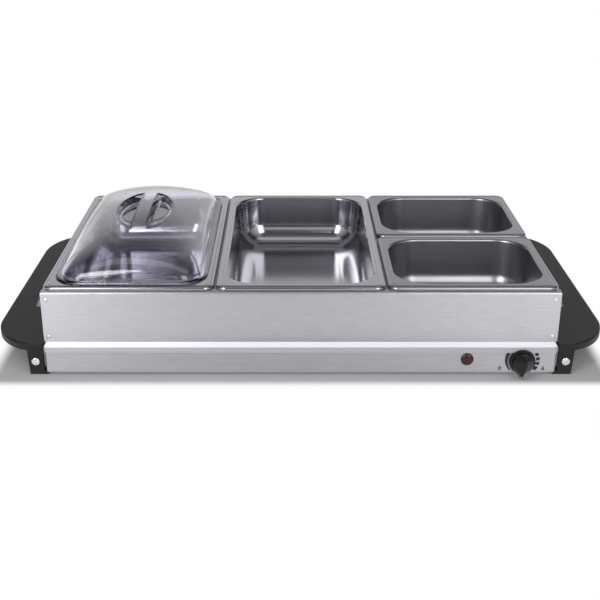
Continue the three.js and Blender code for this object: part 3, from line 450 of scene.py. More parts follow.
def surface(tree, by, colours, rough, relief=0.0, rough_by=None, raised_by=None, **sockets):
    """A Principled surface whose colour, roughness and relief in metres follow patterns from 0 to 1."""
    inputs = {name.replace("_", " "): value for name, value in sockets.items()}
    if colours:
        inputs["Base Color"] = add(tree, "Mix", blend(by, *colours), "Result", data_type="RGBA")
    if rough:
        inputs["Roughness"] = add(tree, "MapRange", (rough_by or by, 0.0, 1.0, *rough))
    if relief:
        inputs["Normal"] = add(tree, "Bump", {"Height": raised_by or by, "Distance": relief})
    add(tree, "OutputMaterial", {"Surface": add(tree, "BsdfPrincipled", inputs)})


def patterned(name, size, colours, rough, relief=0.0, texture=None, **sockets):
    """A material that follows a single pattern."""
    material, tree = new_material(name)
    if tree:
        surface(tree, pattern(tree, size, **(texture or {})), colours, rough, relief, **sockets)
    return material


def brushed_stainless(settings, name="brushed_stainless_sheet", tone=1.0, rough=0.4, painted_top_light=None):
    """Stainless sheet brushed along its length: fine level lines that spread each light up and down."""
    material, tree = new_material(name)
    if not tree:
        return material
    steel = settings.steel
    lines = pattern(tree, steel.grain, (0.045, 1, 1), Detail=3.0, Roughness=0.7)
    clouds = pattern(tree, 60 * MM)
    normal = add(tree, "NewGeometry", output="Normal")
    sideways, _, upward = add(tree, "SeparateXYZ", (normal,)).node.outputs
    # Faces to the sides are brushed the other way
    size = add(tree, "Math", (sideways,), operation="ABSOLUTE")
    at_end = add(tree, "Math", (size, 0.7), operation="GREATER_THAN")
    along = add(tree, "Mix", {"Factor": at_end, "A": (1, 0, 0), "B": (0, 1, 0)}, "Result", data_type="VECTOR")
    across = add(tree, "VectorMath", (along, normal), operation="CROSS_PRODUCT")
    by = lines
    if painted_top_light:
        # Faces that look up are painted brighter: a painted highlight of the light from above
        top = add(tree, "MapRange", (upward, 0.5, 0.9, 0.0, 0.85))
        faint = add(tree, "MapRange", (lines, 0.0, 1.0, 0.0, 0.15))
        by = add(tree, "Math", (faint, top), operation="ADD")
    dark, light, relief = 0.74 * tone, 1.24 * (painted_top_light or tone), 0.012 * MM
    surface(
        tree, by, (shaded(steel.brushed, dark), shaded(steel.brushed, light)), (rough, rough + 0.06), relief,
        clouds, lines, Metallic=1.0, Anisotropic=0.8, Tangent=across)
    return material


def drawn_stainless(settings, name="drawn_stainless_sheet", rough=0.15, tone=1.0):
    """Deep-drawn stainless sheet: bright and smooth, with slow ripples that the drawing leaves."""
    material, tree = new_material(name)
    if tree:
        drawn = settings.steel.drawn
        colours = shaded(drawn, 0.97 * tone), shaded(drawn, tone)
        ripples = pattern(tree, 34 * MM, Detail=0.0)
        scuffs = pattern(tree, 16 * MM, (1, 1, 0.25))
        surface(
            tree, scuffs, colours, (rough * 0.92, rough * 1.08), 0.08 * MM, raised_by=ripples, Metallic=1.0)
    return material


def clear_plastic(settings):
    """Clear moulded polycarbonate: smooth, faintly violet, with a soft haze from washing."""
    return patterned(
        "clear_moulded_polycarbonate", 12 * MM, None, (0.0, 0.03), texture={"Detail": 3.0},
        Base_Color=(*settings.lid.tint, 1), IOR=1.58, Transmission_Weight=1.0)


def moulded_black(settings):
    """Glass-filled heat-resistant plastic, moulded: nearly black, matt, with a fine spark texture."""
    tone = settings.handle.tone
    colours = shaded(tone, 0.85), shaded(tone, 1.2)
    return patterned("matt_moulded_phenolic", 0.9 * MM, colours, (0.42, 0.54), 0.05 * MM, IOR=1.4)


def knob_plastic(settings):
    """Moulded thermoset of the knob: black and smoother than the handles, with a soft shine."""
    tone = settings.knob.tone
    colours = shaded(tone, 0.9), shaded(tone, 1.1)
    return patterned("satin_moulded_thermoset", 0.6 * MM, colours, (0.2, 0.27), 0.01 * MM, IOR=1.38)


def lens_red(settings):
    """Tinted polycarbonate of the lamp's lens, unlit: a dark wine red with a faint prism pattern."""
    return patterned(
        "tinted_lens_polycarbonate", 1.1 * MM, (linear("#1E0508"), linear("#45171A")), None, 0.08 * MM,
        {"kind": "TexVoronoi"}, Roughness=0.14, IOR=1.42)


def zinc_plate(settings):
    """Zinc-plated steel: grey with a soft spangle and a dull shine."""
    zinc = settings.steel.zinc
    return patterned(
        "zinc_plated_steel", 7 * MM, (shaded(zinc, 0.88), shaded(zinc, 1.08)), (0.38, 0.52),
        texture={"kind": "TexVoronoi", "output": "Color"}, Metallic=1.0)


def bright_zinc():
    """Bright-plated steel of screws and rivets: almost white, with turning marks too fine to see."""
    colours = linear("#CFCFD3"), linear("#E6E6EA")
    return patterned("bright_plated_steel", 0.7 * MM, colours, (0.2, 0.3), Metallic=1.0)


def printed_ink(settings):
    """Screen-printed ink of the scale: black, flat, slightly uneven at this thickness."""
    ink = settings.knob.ink
    return patterned("screen_printed_ink", 1.2 * MM, (ink, shaded(ink, 1.6)), (0.5, 0.65), IOR=1.5)


def insulating_plastic(settings):
    """Moulded insulating plastic of the inner parts: light grey and satin."""
    colours = linear("#7E7E7C"), linear("#939391")
    return patterned("moulded_insulating_plastic", 1.5 * MM, colours, (0.45, 0.6), IOR=1.5)


def glazed_ceramic(settings):
    """Glazed steatite of the terminal block: off-white with small iron specks under a soft gloss."""
    colours = linear("#D8D2C4"), linear("#EAE6DC")
    return patterned("glazed_steatite", 2 * MM, colours, (0.25, 0.4), texture={"Detail": 3.0}, IOR=1.5)


def browned_sheath(settings):
    """Annealed sheath of the heating element: steel browned unevenly by heat."""
    colours = linear("#5A4C42"), linear("#8C8178")
    return patterned(
        "heat_browned_sheath", 14 * MM, colours, (0.4, 0.6), texture={"Detail": 4.0}, Metallic=1.0)


SLOT_MATERIALS = {
    "brushed_steel": brushed_stainless,
    "drawn_steel": drawn_stainless,
    "zinc_steel": zinc_plate,
    "black_plastic": moulded_black,
    "clear_plastic": clear_plastic,
    "red_lens": lens_red,
    "grey_plastic": insulating_plastic,
    "white_ceramic": glazed_ceramic,
    "heater_sheath": browned_sheath,
}


# Pieces


def folded_rings(half_x, half_y, corner, edge, top, foot, sheet, centre):
    """Rings of a sheet folded down all round: rounded edge, skirt and the inside of both."""
    ring = rings_inside(half_x, half_y, corner, centre)
    inner = edge - sheet
    outside = swept(ring, edge, top - edge, -edge, edge)
    return [*outside, ring(0, foot), ring(sheet, foot), *swept(ring, edge, top - edge, -inner, inner, True)]


class SERVER_OT_base(bpy.types.Operator):
    """Builds the warming plate and the housing under it"""

    bl_idname = "server.base"
    bl_label = "Base"

    def execute(self, context):
        settings = context.scene.buffet_server
        self.plate(settings, settings.steel)
        self.housing(settings, settings.steel.sheet)
        return {"FINISHED"}

    def plate(self, settings, steel):
        """The warming plate: a raised field inside the frame, a flat ledge round it and a folded skirt."""
        margin, field_corner, skirt_corner = 10 * MM, 12 * MM, 4 * MM
        rise = PLATE_HIGH.z - PLATE_TOP
        under = PLATE_TOP - steel.sheet
        field = rings_inside(FRAME_HALF_X - margin, FRAME_HALF_Y - margin, field_corner + rise, (0, FRAME_Y))
        plate = skin("plate_shell", [
            field(rise, PLATE_HIGH.z),
            field(0, PLATE_TOP),
            *folded_rings(
                BASE_HALF_X, BASE_HALF_Y, skirt_corner, steel.plate_edge, PLATE_TOP, PLATE_LOW.z, steel.sheet,
                (0, BASE_Y)),
            field(steel.sheet, under),
            field(steel.sheet + rise, under + rise),
        ])
        # A brighter copy of the brushed steel, its upward faces painted lighter still: painted light from
        # above on the ledge
        brushed = brushed_stainless(settings, "brushed_stainless_plate", 1.27, 0.72, 1.38)
        settle(plate, brushed, "base", ["warming_plate"])

    def housing(self, settings, sheet):
        """The band of sheet under the skirt, with flanges folded inwards above and below."""
        top, foot, corner = 2.5 * MM, 2 * MM, 3 * MM
        top_flange, foot_flange = 12 * MM, 10 * MM
        top_level, foot_level = HOUSING_HIGH.z - top, HOUSING_LOW.z + foot
        ring = rings_inside(HOUSING_HALF_X, HOUSING_HALF_Y, corner, (0, BASE_Y))
        housing = skin("housing_shell", [
            ring(top_flange, HOUSING_HIGH.z),
            *swept(ring, top, top_level, -top, top),
            *swept(ring, foot, foot_level, -foot, -foot, True),
            ring(foot_flange, HOUSING_LOW.z),
            ring(foot_flange, HOUSING_LOW.z + sheet),
            *swept(ring, foot, foot_level, sheet - foot, sheet - foot),
            *swept(ring, top, top_level, sheet - top, top - sheet, True),
            ring(top_flange, HOUSING_HIGH.z - sheet),
        ], looped=True)
        # The housing gets a darker copy of the brushed steel
        darker_steel = brushed_stainless(settings, "brushed_stainless_housing", 0.77)
        settle(housing, darker_steel, "base", ["base_housing"])


class SERVER_OT_frame(bpy.types.Operator):
    """Builds the folded panels of the pan frame"""

    bl_idname = "server.frame"
    bl_label = "Frame"

    def execute(self, context):
        settings = context.scene.buffet_server
        steel = settings.steel
        brushed = brushed_stainless(settings, tone=0.95)
        foot_width, rim_width = 9 * MM, 9.5 * MM
        sheet, outer = steel.sheet, steel.fold + steel.sheet

        def fold(radius):
            return [(outer - radius * up, FRAME_TOP - outer + radius * out) for out, up in quarter_round()]

        # Distances in from the panel's outer face and heights, round the section of the sheet
        section = [(foot_width, PLATE_TOP + sheet), (sheet, PLATE_TOP + sheet), *fold(steel.fold)]
        section += [(rim_width, FRAME_TOP - sheet), (rim_width, FRAME_TOP), *reversed(fold(outer))]
        section += [(0, PLATE_TOP), (foot_width, PLATE_TOP)]
        front = prism(
            "panel_front", section, -FRAME_HALF_X, FRAME_HALF_X,
            lambda a, b, place: Vector((place, FRAME_Y - FRAME_HALF_Y + a, b)))
        apply_modifiers(bevelled(front))
        rear = copied(front, "panel_rear", back_for_front(FRAME_Y))
        settle(front, brushed, "pan_frame", ["frame_front"])
        settle(rear, brushed, "pan_frame", ["frame_rear"])
        return {"FINISHED"}


def pan_rings(low, high, pan, foot, sheet):
    """Rings of a drawn pan from the middle of its floor, up over the rim and back under the floor."""
    centre = (low + high) / 2
    half_x, half_y = (high.x - low.x) / 2, (high.y - low.y) / 2
    wall_half_x, wall_corner = half_x + pan.flange - pan.side_flange, pan.mouth_corner + pan.flange
    wall = rings_inside(wall_half_x, half_y, wall_corner, centre, high.z, 6 * MM)
    lip = rings_inside(half_x, half_y, pan.lip_corner, centre, high.z, 0.4 * MM)

    def rolled(radius):
        return [lip(roll - radius * cos(a), radius * sin(a) - roll) for a in turns]

    mouth, roll, dip = pan.mouth_radius, pan.lip / 2, 0.05 * MM
    foot_inset, foot_level = pan.flange + pan.draft + foot, foot - pan.depth
    mouth_inset = pan.flange - mouth
    first_turn, last_turn, steps = 125, -75, 16
    turns = [radians(first_turn + (last_turn - first_turn) * step / steps) for step in range(steps + 1)]
    return [
        *swept(wall, foot_inset, foot_level, -foot, -foot, steps=SWEEP_STEPS),
        *swept(wall, mouth_inset, -mouth, mouth, mouth, True),
        lip(pan.valley + 0.5 * MM, 0),
        lip(pan.valley, -dip),
        *rolled(roll),
        *reversed(rolled(roll - sheet)),
        lip(pan.valley, -sheet - dip),
        *swept(wall, mouth_inset, -mouth, mouth - sheet, mouth - sheet),
        *swept(wall, foot_inset, foot_level, -foot - sheet, -foot - sheet, True, SWEEP_STEPS),
    ]


class SERVER_OT_pans(bpy.types.Operator):
    """Builds the four drawn pans"""

    bl_idname = "server.pans"
    bl_label = "Pans"

    def execute(self, context):
        settings = context.scene.buffet_server
        for node, body in PANS.items():
            low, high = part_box(node)
            small = "small" in node
            foot = settings.pan.small_floor_radius if small else settings.pan.floor_radius
            # The small pans get a rougher copy of the drawn steel, painted darker: painted shade on their
            # walls and rims
            rough_and_shaded = ("drawn_stainless_small_pans", 0.29, 0.84) if small else ()
            pan = skin("drawn_" + node, pan_rings(low, high, settings.pan, foot, settings.steel.sheet))
            settle(pan, drawn_stainless(settings, *rough_and_shaded), body, [node])
        return {"FINISHED"}


DOME_SHARES = [0.06, 0.16, 0.26, 0.36, 0.46, 0.55, 0.63, 0.7, 0.76, 0.81, 0.85, 0.885, 0.915, 0.938, 0.955,
               0.968, 0.978, 0.986, 0.992, 0.9965, 1]
LONG_PARTS, SHORT_PARTS = 22, 10


def dome(name, half_x, half_y, radius, low, seat, lid):
    """A solid under one skin of the lid's dome, crowned both ways and steep at its shoulder."""
    foot = rounded_ring(half_x, half_y, radius, low, parts=(SHORT_PARTS, LONG_PARTS))
    rings = []
    for size in DOME_SHARES:
        ring = []
        for corner in foot:
            x, y = corner.x * size, corner.y * size
            across = 1 - lid.across * (x / half_x) ** 2
            along = 1 - lid.along * (y / half_y) ** 2
            shoulder = sqrt(1 - size ** lid.shoulder)
            ring.append(Vector((x, y, seat + lid.rise * across * along * shoulder)))
        rings.append(ring)
    return skin(name, [*rings, foot])


def finger_well(lid, grow, floor, top):
    """The right-hand well beside the grip bar: a half oval, drafted to a rounded floor."""
    draft, radius = 2.4 * MM, 3 * MM

    def ring(inset, z):
        across = lid.grip_across + grow - inset
        along = lid.grip_along + grow - inset
        limit = acos((lid.bar / 2 - grow + inset) / across)
        angles = [limit * (step / 24 - 1) for step in range(49)]
        return [Vector((across * cos(a), along * sin(a), z)) for a in angles]

    return skin("well", [ring(0, top), *swept(ring, draft + radius, floor + radius, -radius, -radius, True)])


class SERVER_OT_lid(bpy.types.Operator):
    """Builds the clear lid with its sunken grip"""

    bl_idname = "server.lid"
    bl_label = "Lid"

    def execute(self, context):
        settings = context.scene.buffet_server
        lid, wall = settings.lid, settings.lid.wall
        low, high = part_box("lid")
        seat = low.z + wall
        half_x, half_y = (high.x - low.x) / 2, (high.y - low.y) / 2
        dome_x, dome_y = half_x - lid.flange, half_y - lid.flange
        radius = lid.corner - lid.flange
        edge, past = 0.7 * MM, 2 * MM
        flange = skin("lid_flange", slab(rings_inside(half_x, half_y, lid.corner), edge, low.z, seat))
        floor = seat + lid.rise - lid.well_depth
        top = seat + lid.rise + past
        wells = [finger_well(lid, 0, floor, top) for _ in range(2)]
        skins = [finger_well(lid, wall, floor - wall, top) for _ in range(2)]
        for pair in (wells, skins):
            moved(pair[1], LEFT_FOR_RIGHT)
        outside = dome("clear_lid", dome_x, dome_y, radius, low.z, seat, lid)
        inside = dome("lid_inside", dome_x - wall, dome_y - wall, radius - wall, low.z - past, low.z, lid)
        combine(outside, [flange], "UNION")
        combine(outside, wells, "DIFFERENCE")
        combine(inside, skins, "DIFFERENCE")
        combine(outside, [inside], "DIFFERENCE")
        centre = (low + high) / 2
        moved(outside, Matrix.Translation((centre.x, centre.y, 0)))
        settle(outside, clear_plastic(settings), "lid", ["lid"], sharp=30)
        return {"FINISHED"}


def ellipse_arc(centre, radii, start, end):
    """Points along an ellipse between two angles."""
    angles = [start + (end - start) * step / 20 for step in range(21)]
    return [Vector((centre[0] + radii[0] * cos(a), centre[1] + radii[1] * sin(a))) for a in angles]


def curve_through(start, control, end, steps=10):
    """Points along a curve from start to end that leans towards a control point."""
    start, control, end = Vector(start), Vector(control), Vector(end)
    shares = [step / steps for step in range(steps + 1)]
    return [start.lerp(control, t).lerp(control.lerp(end, t), t) for t in shares]


def inset_outline(outline, distance):
    """A closed outline moved inwards by a distance; the outline runs counter-clockwise."""
    points = []
    for index, here in enumerate(outline):
        before = (here - outline[index - 1]).normalized()
        after = (outline[(index + 1) % len(outline)] - here).normalized()
        first = Vector((-before.y, before.x))
        second = Vector((-after.y, after.x))
        points.append(here + (first + second) * distance / max(1 + first.dot(second), 0.2))
    return points


def without_repeats(points):
    """A closed outline with neighbouring points that fall together dropped."""
    least = 0.02 * MM
    return [here for index, here in enumerate(points) if (here - points[index - 1]).length > least]


def handle_outline(handle, inner, outer):
    """Plan of the left handle: a straight outer edge, curved corners and a slot open to the body."""
    straight = handle.half_length - handle.corner_length
    centre_x = outer + handle.corner_depth
    radii = (handle.corner_depth, handle.corner_length)
    slot_edge = inner - handle.slot_reach
    slot, corner = handle.slot_half, 4 * MM
    points = [Vector((inner, handle.half_length))]
    points += ellipse_arc((centre_x, straight), radii, pi / 2, pi)
    points += ellipse_arc((centre_x, -straight), radii, pi, 3 * pi / 2)
    points += [Vector((inner, -handle.half_length)), Vector((inner, -slot))]
    points += curve_through((slot_edge + corner, -slot), (slot_edge, -slot), (slot_edge, corner - slot))
    bulge = slot_edge - 2 * handle.slot_bulge
    points += curve_through((slot_edge, corner - slot), (bulge, 0), (slot_edge, slot - corner), 24)
    points += curve_through((slot_edge, slot - corner), (slot_edge, slot), (slot_edge + corner, slot))
    points.append(Vector((inner, slot)))
    return without_repeats(points)


class SERVER_OT_handles(bpy.types.Operator):
    """Builds the two moulded handles with their legs"""

    bl_idname = "server.handles"
    bl_label = "Handles"

    def execute(self, context):
        settings = context.scene.buffet_server
        handle = settings.handle
        low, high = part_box("handle_left")
        inner, outer = -FRAME_HALF_X - GAP, low.x
        outline = handle_outline(handle, inner, outer)

        def plan(inset, z):
            return [Vector((p.x, BASE_Y + p.y, z)) for p in inset_outline(outline, inset)]

        plate = skin("moulded_handle_left", slab(plan, handle.edge, high.z - handle.thickness, high.z))
        legs = [self.leg(handle, inner, high.z) for _ in range(2)]
        moved(legs[1], back_for_front(BASE_Y))
        combine(plate, legs, "UNION")
        right = copied(plate, "moulded_handle_right", LEFT_FOR_RIGHT)
        black = moulded_black(settings)
        settle(plate, black, "base", ["handle_left"])
        settle(right, black, "base", ["handle_right"])
        return {"FINISHED"}

    def leg(self, handle, inner, top):
        """The front leg of the left handle, hollow from behind, with a toe under the base."""
        width, taper, depth, wall, edge = 17 * MM, 1.5 * MM, 22 * MM, 3 * MM, 1 * MM
        toe_length, toe_width, toe_height, solid_foot = 16 * MM, 4 * MM, 3.7 * MM, 7 * MM
        front = BASE_Y - handle.half_length - 1 * MM
        outline = [Vector(p) for p in (
            (inner, 0), (inner, top), (inner - width, top), (inner - width, top - handle.thickness),
            (inner - width + taper, 0))]

        def section(inset, z):
            return [Vector((p.x, -z, p.y)) for p in inset_outline(outline, inset)]

        leg = face_outwards(skin("leg", slab(section, edge, -front - depth, -front, 3)))
        toe = box(
            "toe",
            (inner - wall, front + edge, 0),
            (inner + toe_width, front + edge + toe_length, toe_height))
        pocket = box(
            "pocket",
            (inner - width + wall + taper, front + wall, solid_foot),
            (inner + 2 * MM, front + depth + 2 * MM, top - handle.thickness))
        combine(leg, [toe], "UNION")
        return combine(leg, [pocket], "DIFFERENCE")


class SERVER_OT_knob(bpy.types.Operator):
    """Builds the control knob and the scale printed round it"""

    bl_idname = "server.knob"
    bl_label = "Knob and scale"

    def execute(self, context):
        settings = context.scene.buffet_server
        knob = settings.knob
        low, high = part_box("control_knob")
        shaft_low, shaft_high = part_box("thermostat_shaft")
        x, _, z = (shaft_low + shaft_high) / 2
        pointer_turn = radians(-15)
        body = moved(self.grip(knob), facing_front(x, high.y, z, pointer_turn))
        settle(body, knob_plastic(settings), "knob", ["control_knob"])
        self.scale(knob, x, z, printed_ink(settings))
        return {"FINISHED"}

    def grip(self, knob):
        """A round skirt with a pointed grip that narrows to a crest; the pointer is along -Y."""
        tangent = acos(knob.body_radius / knob.pointer)

        def ring(t, height):
            points = []
            for side in range(ROUND_SIDES):
                angle = side / ROUND_SIDES * 2 * pi
                across, along = sin(angle), cos(angle)
                off = min(angle, 2 * pi - angle)
                reach = knob.body_radius / cos(max(tangent - off, 0))
                wide = Vector((across * reach, -along * reach))
                end = knob.crest_front if along > 0 else knob.crest_back
                narrow = Vector((
                    copysign(abs(across) ** 0.5, across) * knob.crest_width / 2,
                    -copysign(abs(along) ** 0.7, along) * end))
                plan = wide.lerp(narrow, t)
                points.append(Vector((plan.x, plan.y, height)))
            return points

        skirt = turned("control_grip", [
            (0, 0),
            (knob.skirt_radius, 0),
            (knob.skirt_radius, knob.skirt_height * 0.6),
            (knob.skirt_radius - 0.4 * MM, knob.skirt_height * 0.85),
            (knob.body_radius + 0.8 * MM, knob.skirt_height),
            (0, knob.skirt_height),
        ])
        grip = face_outwards(skin("grip", [
            ring(0, knob.skirt_height * 0.5),
            ring(0, 6.6 * MM),
            ring(0.06, 7.6 * MM),
            ring(0.5, 10.8 * MM),
            ring(0.92, knob.reach - 1 * MM),
            ring(1, knob.reach - 0.4 * MM),
            [Vector((p.x * 0.82, p.y * 0.95, knob.reach)) for p in ring(1, knob.reach)],
        ]))
        return combine(skirt, [grip], "UNION")

    def scale(self, knob, x, z, ink):
        """A thin arc on one side, blocks on the other, and a plain number at each end."""
        y = HOUSING_LOW.y
        radius = knob.scale_radius
        inner = radius - 3 * MM
        number_beside, number_below, number_size = 22.5 * MM, 10.6 * MM, 6 * MM

        def mark(name, start, end, outer, outer_end):
            steps = max(2, round(abs(end - start) / 4))
            shares = [step / steps for step in range(steps + 1)]
            arc = [(radians(start + (end - start) * s), outer + (outer_end - outer) * s) for s in shares]
            outline = [(reach * cos(a), reach * sin(a)) for a, reach in arc]
            outline += [(inner * cos(a), inner * sin(a)) for a, _ in reversed(arc)]
            low, high = y - 0.04 * MM, y + 0.2 * MM
            piece = prism(name, outline, low, high, lambda a, b, place: Vector((x + a, place, z + b)))
            settle(piece, ink, "base")

        mark("scale_arc", 147, 222, radius + 0.9 * MM, radius - 1.4 * MM)
        for count, (start, end) in enumerate(((32, 19), (14, 1), (-4, -17), (-22, -38)), 1):
            mark(f"scale_block_{count}", start, end, radius + 1.1 * MM, radius + 0.7 * MM)
        for name, text, side in (("scale_number_low", "0", -1), ("scale_number_high", "6", 1)):
            letter = bpy.data.curves.new(name, "FONT")
            letter.body = text
            letter.size = number_size
            letter.offset = 0.22 * MM
            letter.extrude = 0.12 * MM
            letter.align_x = "CENTER"
            carrier = new_object(name, letter)
            shape = carrier.evaluated_get(bpy.context.evaluated_depsgraph_get())
            mesh = bpy.data.meshes.new_from_object(shape)
            bpy.data.objects.remove(carrier)
            place = facing_front(x + side * number_beside, y + 0.08 * MM, z - number_below)
            settle(moved(new_object(name, mesh), place), ink, "base")


class SERVER_OT_lamp(bpy.types.Operator):
    """Builds the domed lens of the indicator lamp"""

    bl_idname = "server.lamp"
    bl_label = "Lamp"

    def execute(self, context):
        settings = context.scene.buffet_server
        low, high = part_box("indicator_lens")
        middle = (low + high) / 2
        radius, rim = (high.x - low.x) / 2, 0.9 * MM
        rise = HOUSING_LOW.y - low.y - rim
        stem, stem_end = 4.6 * MM, -3 * MM
        profile = [(0, stem_end), (stem, stem_end), (stem, 0), (radius, 0)]
        profile += [(radius * out, rim + rise * up) for out, up in reversed(quarter_round(8))]
        lens = moved(turned("lamp_lens", profile), facing_front(middle.x, HOUSING_LOW.y, middle.z))
        settle(lens, lens_red(settings), "base", ["indicator_lens"])
        return {"FINISHED"}


class SERVER_OT_fasteners(bpy.types.Operator):
    """Builds the rivets of the frame and the screws of the legs"""

    bl_idname = "server.fasteners"
    bl_label = "Fasteners"

    def execute(self, context):
        bright = bright_zinc()
        faces = {"front": -1, "rear": 1}
        for place, face in faces.items():
            for count in range(1, 5):
                self.rivet(f"rivet_{place}_{count}", face, bright)
        for place, face in faces.items():
            for side in ("left", "right"):
                self.screw(f"{place}_{side}", face, bright)
        return {"FINISHED"}

    def seat(self, piece, low, high, y, face):
        """Lays a turned piece's axis along Y, with its head out of the front or the rear."""
        middle = (low + high) / 2
        turn = facing_front(middle.x, y, middle.z)
        moved(piece, turn if face < 0 else turn @ Matrix.Rotation(pi, 4, "X"))

    def rivet(self, node, face, bright):
        """A rivet with a domed head on the panel and a set tail behind it."""
        low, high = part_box(node)
        start = FRAME_Y + face * FRAME_HALF_Y
        height, tail = start - low.y, high.y - start
        if face > 0:
            height, tail = tail, height
        radius = (high.x - low.x) / 2
        shank, set_head, set_start = 0.6 * radius, 0.86 * radius, -2 * MM
        profile = [(0, -tail), (set_head, -tail), (set_head, set_start), (shank, set_start), (shank, 0)]
        profile.append((radius, 0))
        profile += [(radius * out, height * up) for out, up in reversed(quarter_round(6))]
        rivet = turned("set_" + node, profile, 32)
        self.seat(rivet, low, high, start, face)
        settle(rivet, bright, "pan_frame", [node])

    def screw(self, place, face, bright):
        """A pan-head screw with a cross recess, its shank left plain."""
        node = "leg_screw_" + place
        low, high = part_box(node)
        radius, shank, shank_end = (high.x - low.x) / 2, 2 * MM, -10 * MM
        head, side = 2.6 * MM, 0.8 * MM
        profile = [(0, shank_end), (shank, shank_end), (shank, 0), (radius, 0), (radius, side)]
        for out, up in reversed(quarter_round(6)):
            profile.append((radius * (0.55 + 0.45 * out), side + (head - side) * up))
        profile.append((0, head))
        screw = turned("screw_" + place, profile, 48)
        reach, half_width, first_turn = 2.6 * MM, 0.55 * MM, 0.4
        arms = []
        for turn in (first_turn, first_turn + pi / 2):
            arm = box("arm", (-reach, -half_width, head - 1.4 * MM), (reach, half_width, head + 1 * MM))
            arms.append(moved(arm, Matrix.Rotation(turn, 4, "Z")))
        combine(screw, arms, "DIFFERENCE")
        self.seat(screw, low, high, low.y + head if face < 0 else high.y - head, face)
        settle(screw, bright, "base", [node])


class SERVER_OT_kept(bpy.types.Operator):
    """Gives the solids that stay in sight their finishes"""

    bl_idname = "server.kept"
    bl_label = "Kept solids"

    def execute(self, context):
        settings = context.scene.buffet_server
        slots = {part["node"]: part["material_slot"] for part in frame["record"]["subparts"]}
        for name, node in frame["nodes"].items():
            if node.hide_render:
                continue
            node.data.materials.clear()
            node.data.materials.append(SLOT_MATERIALS[slots[name]](settings))
            if name in ("frame_left", "frame_right"):
                bevelled(node)
        return {"FINISHED"}


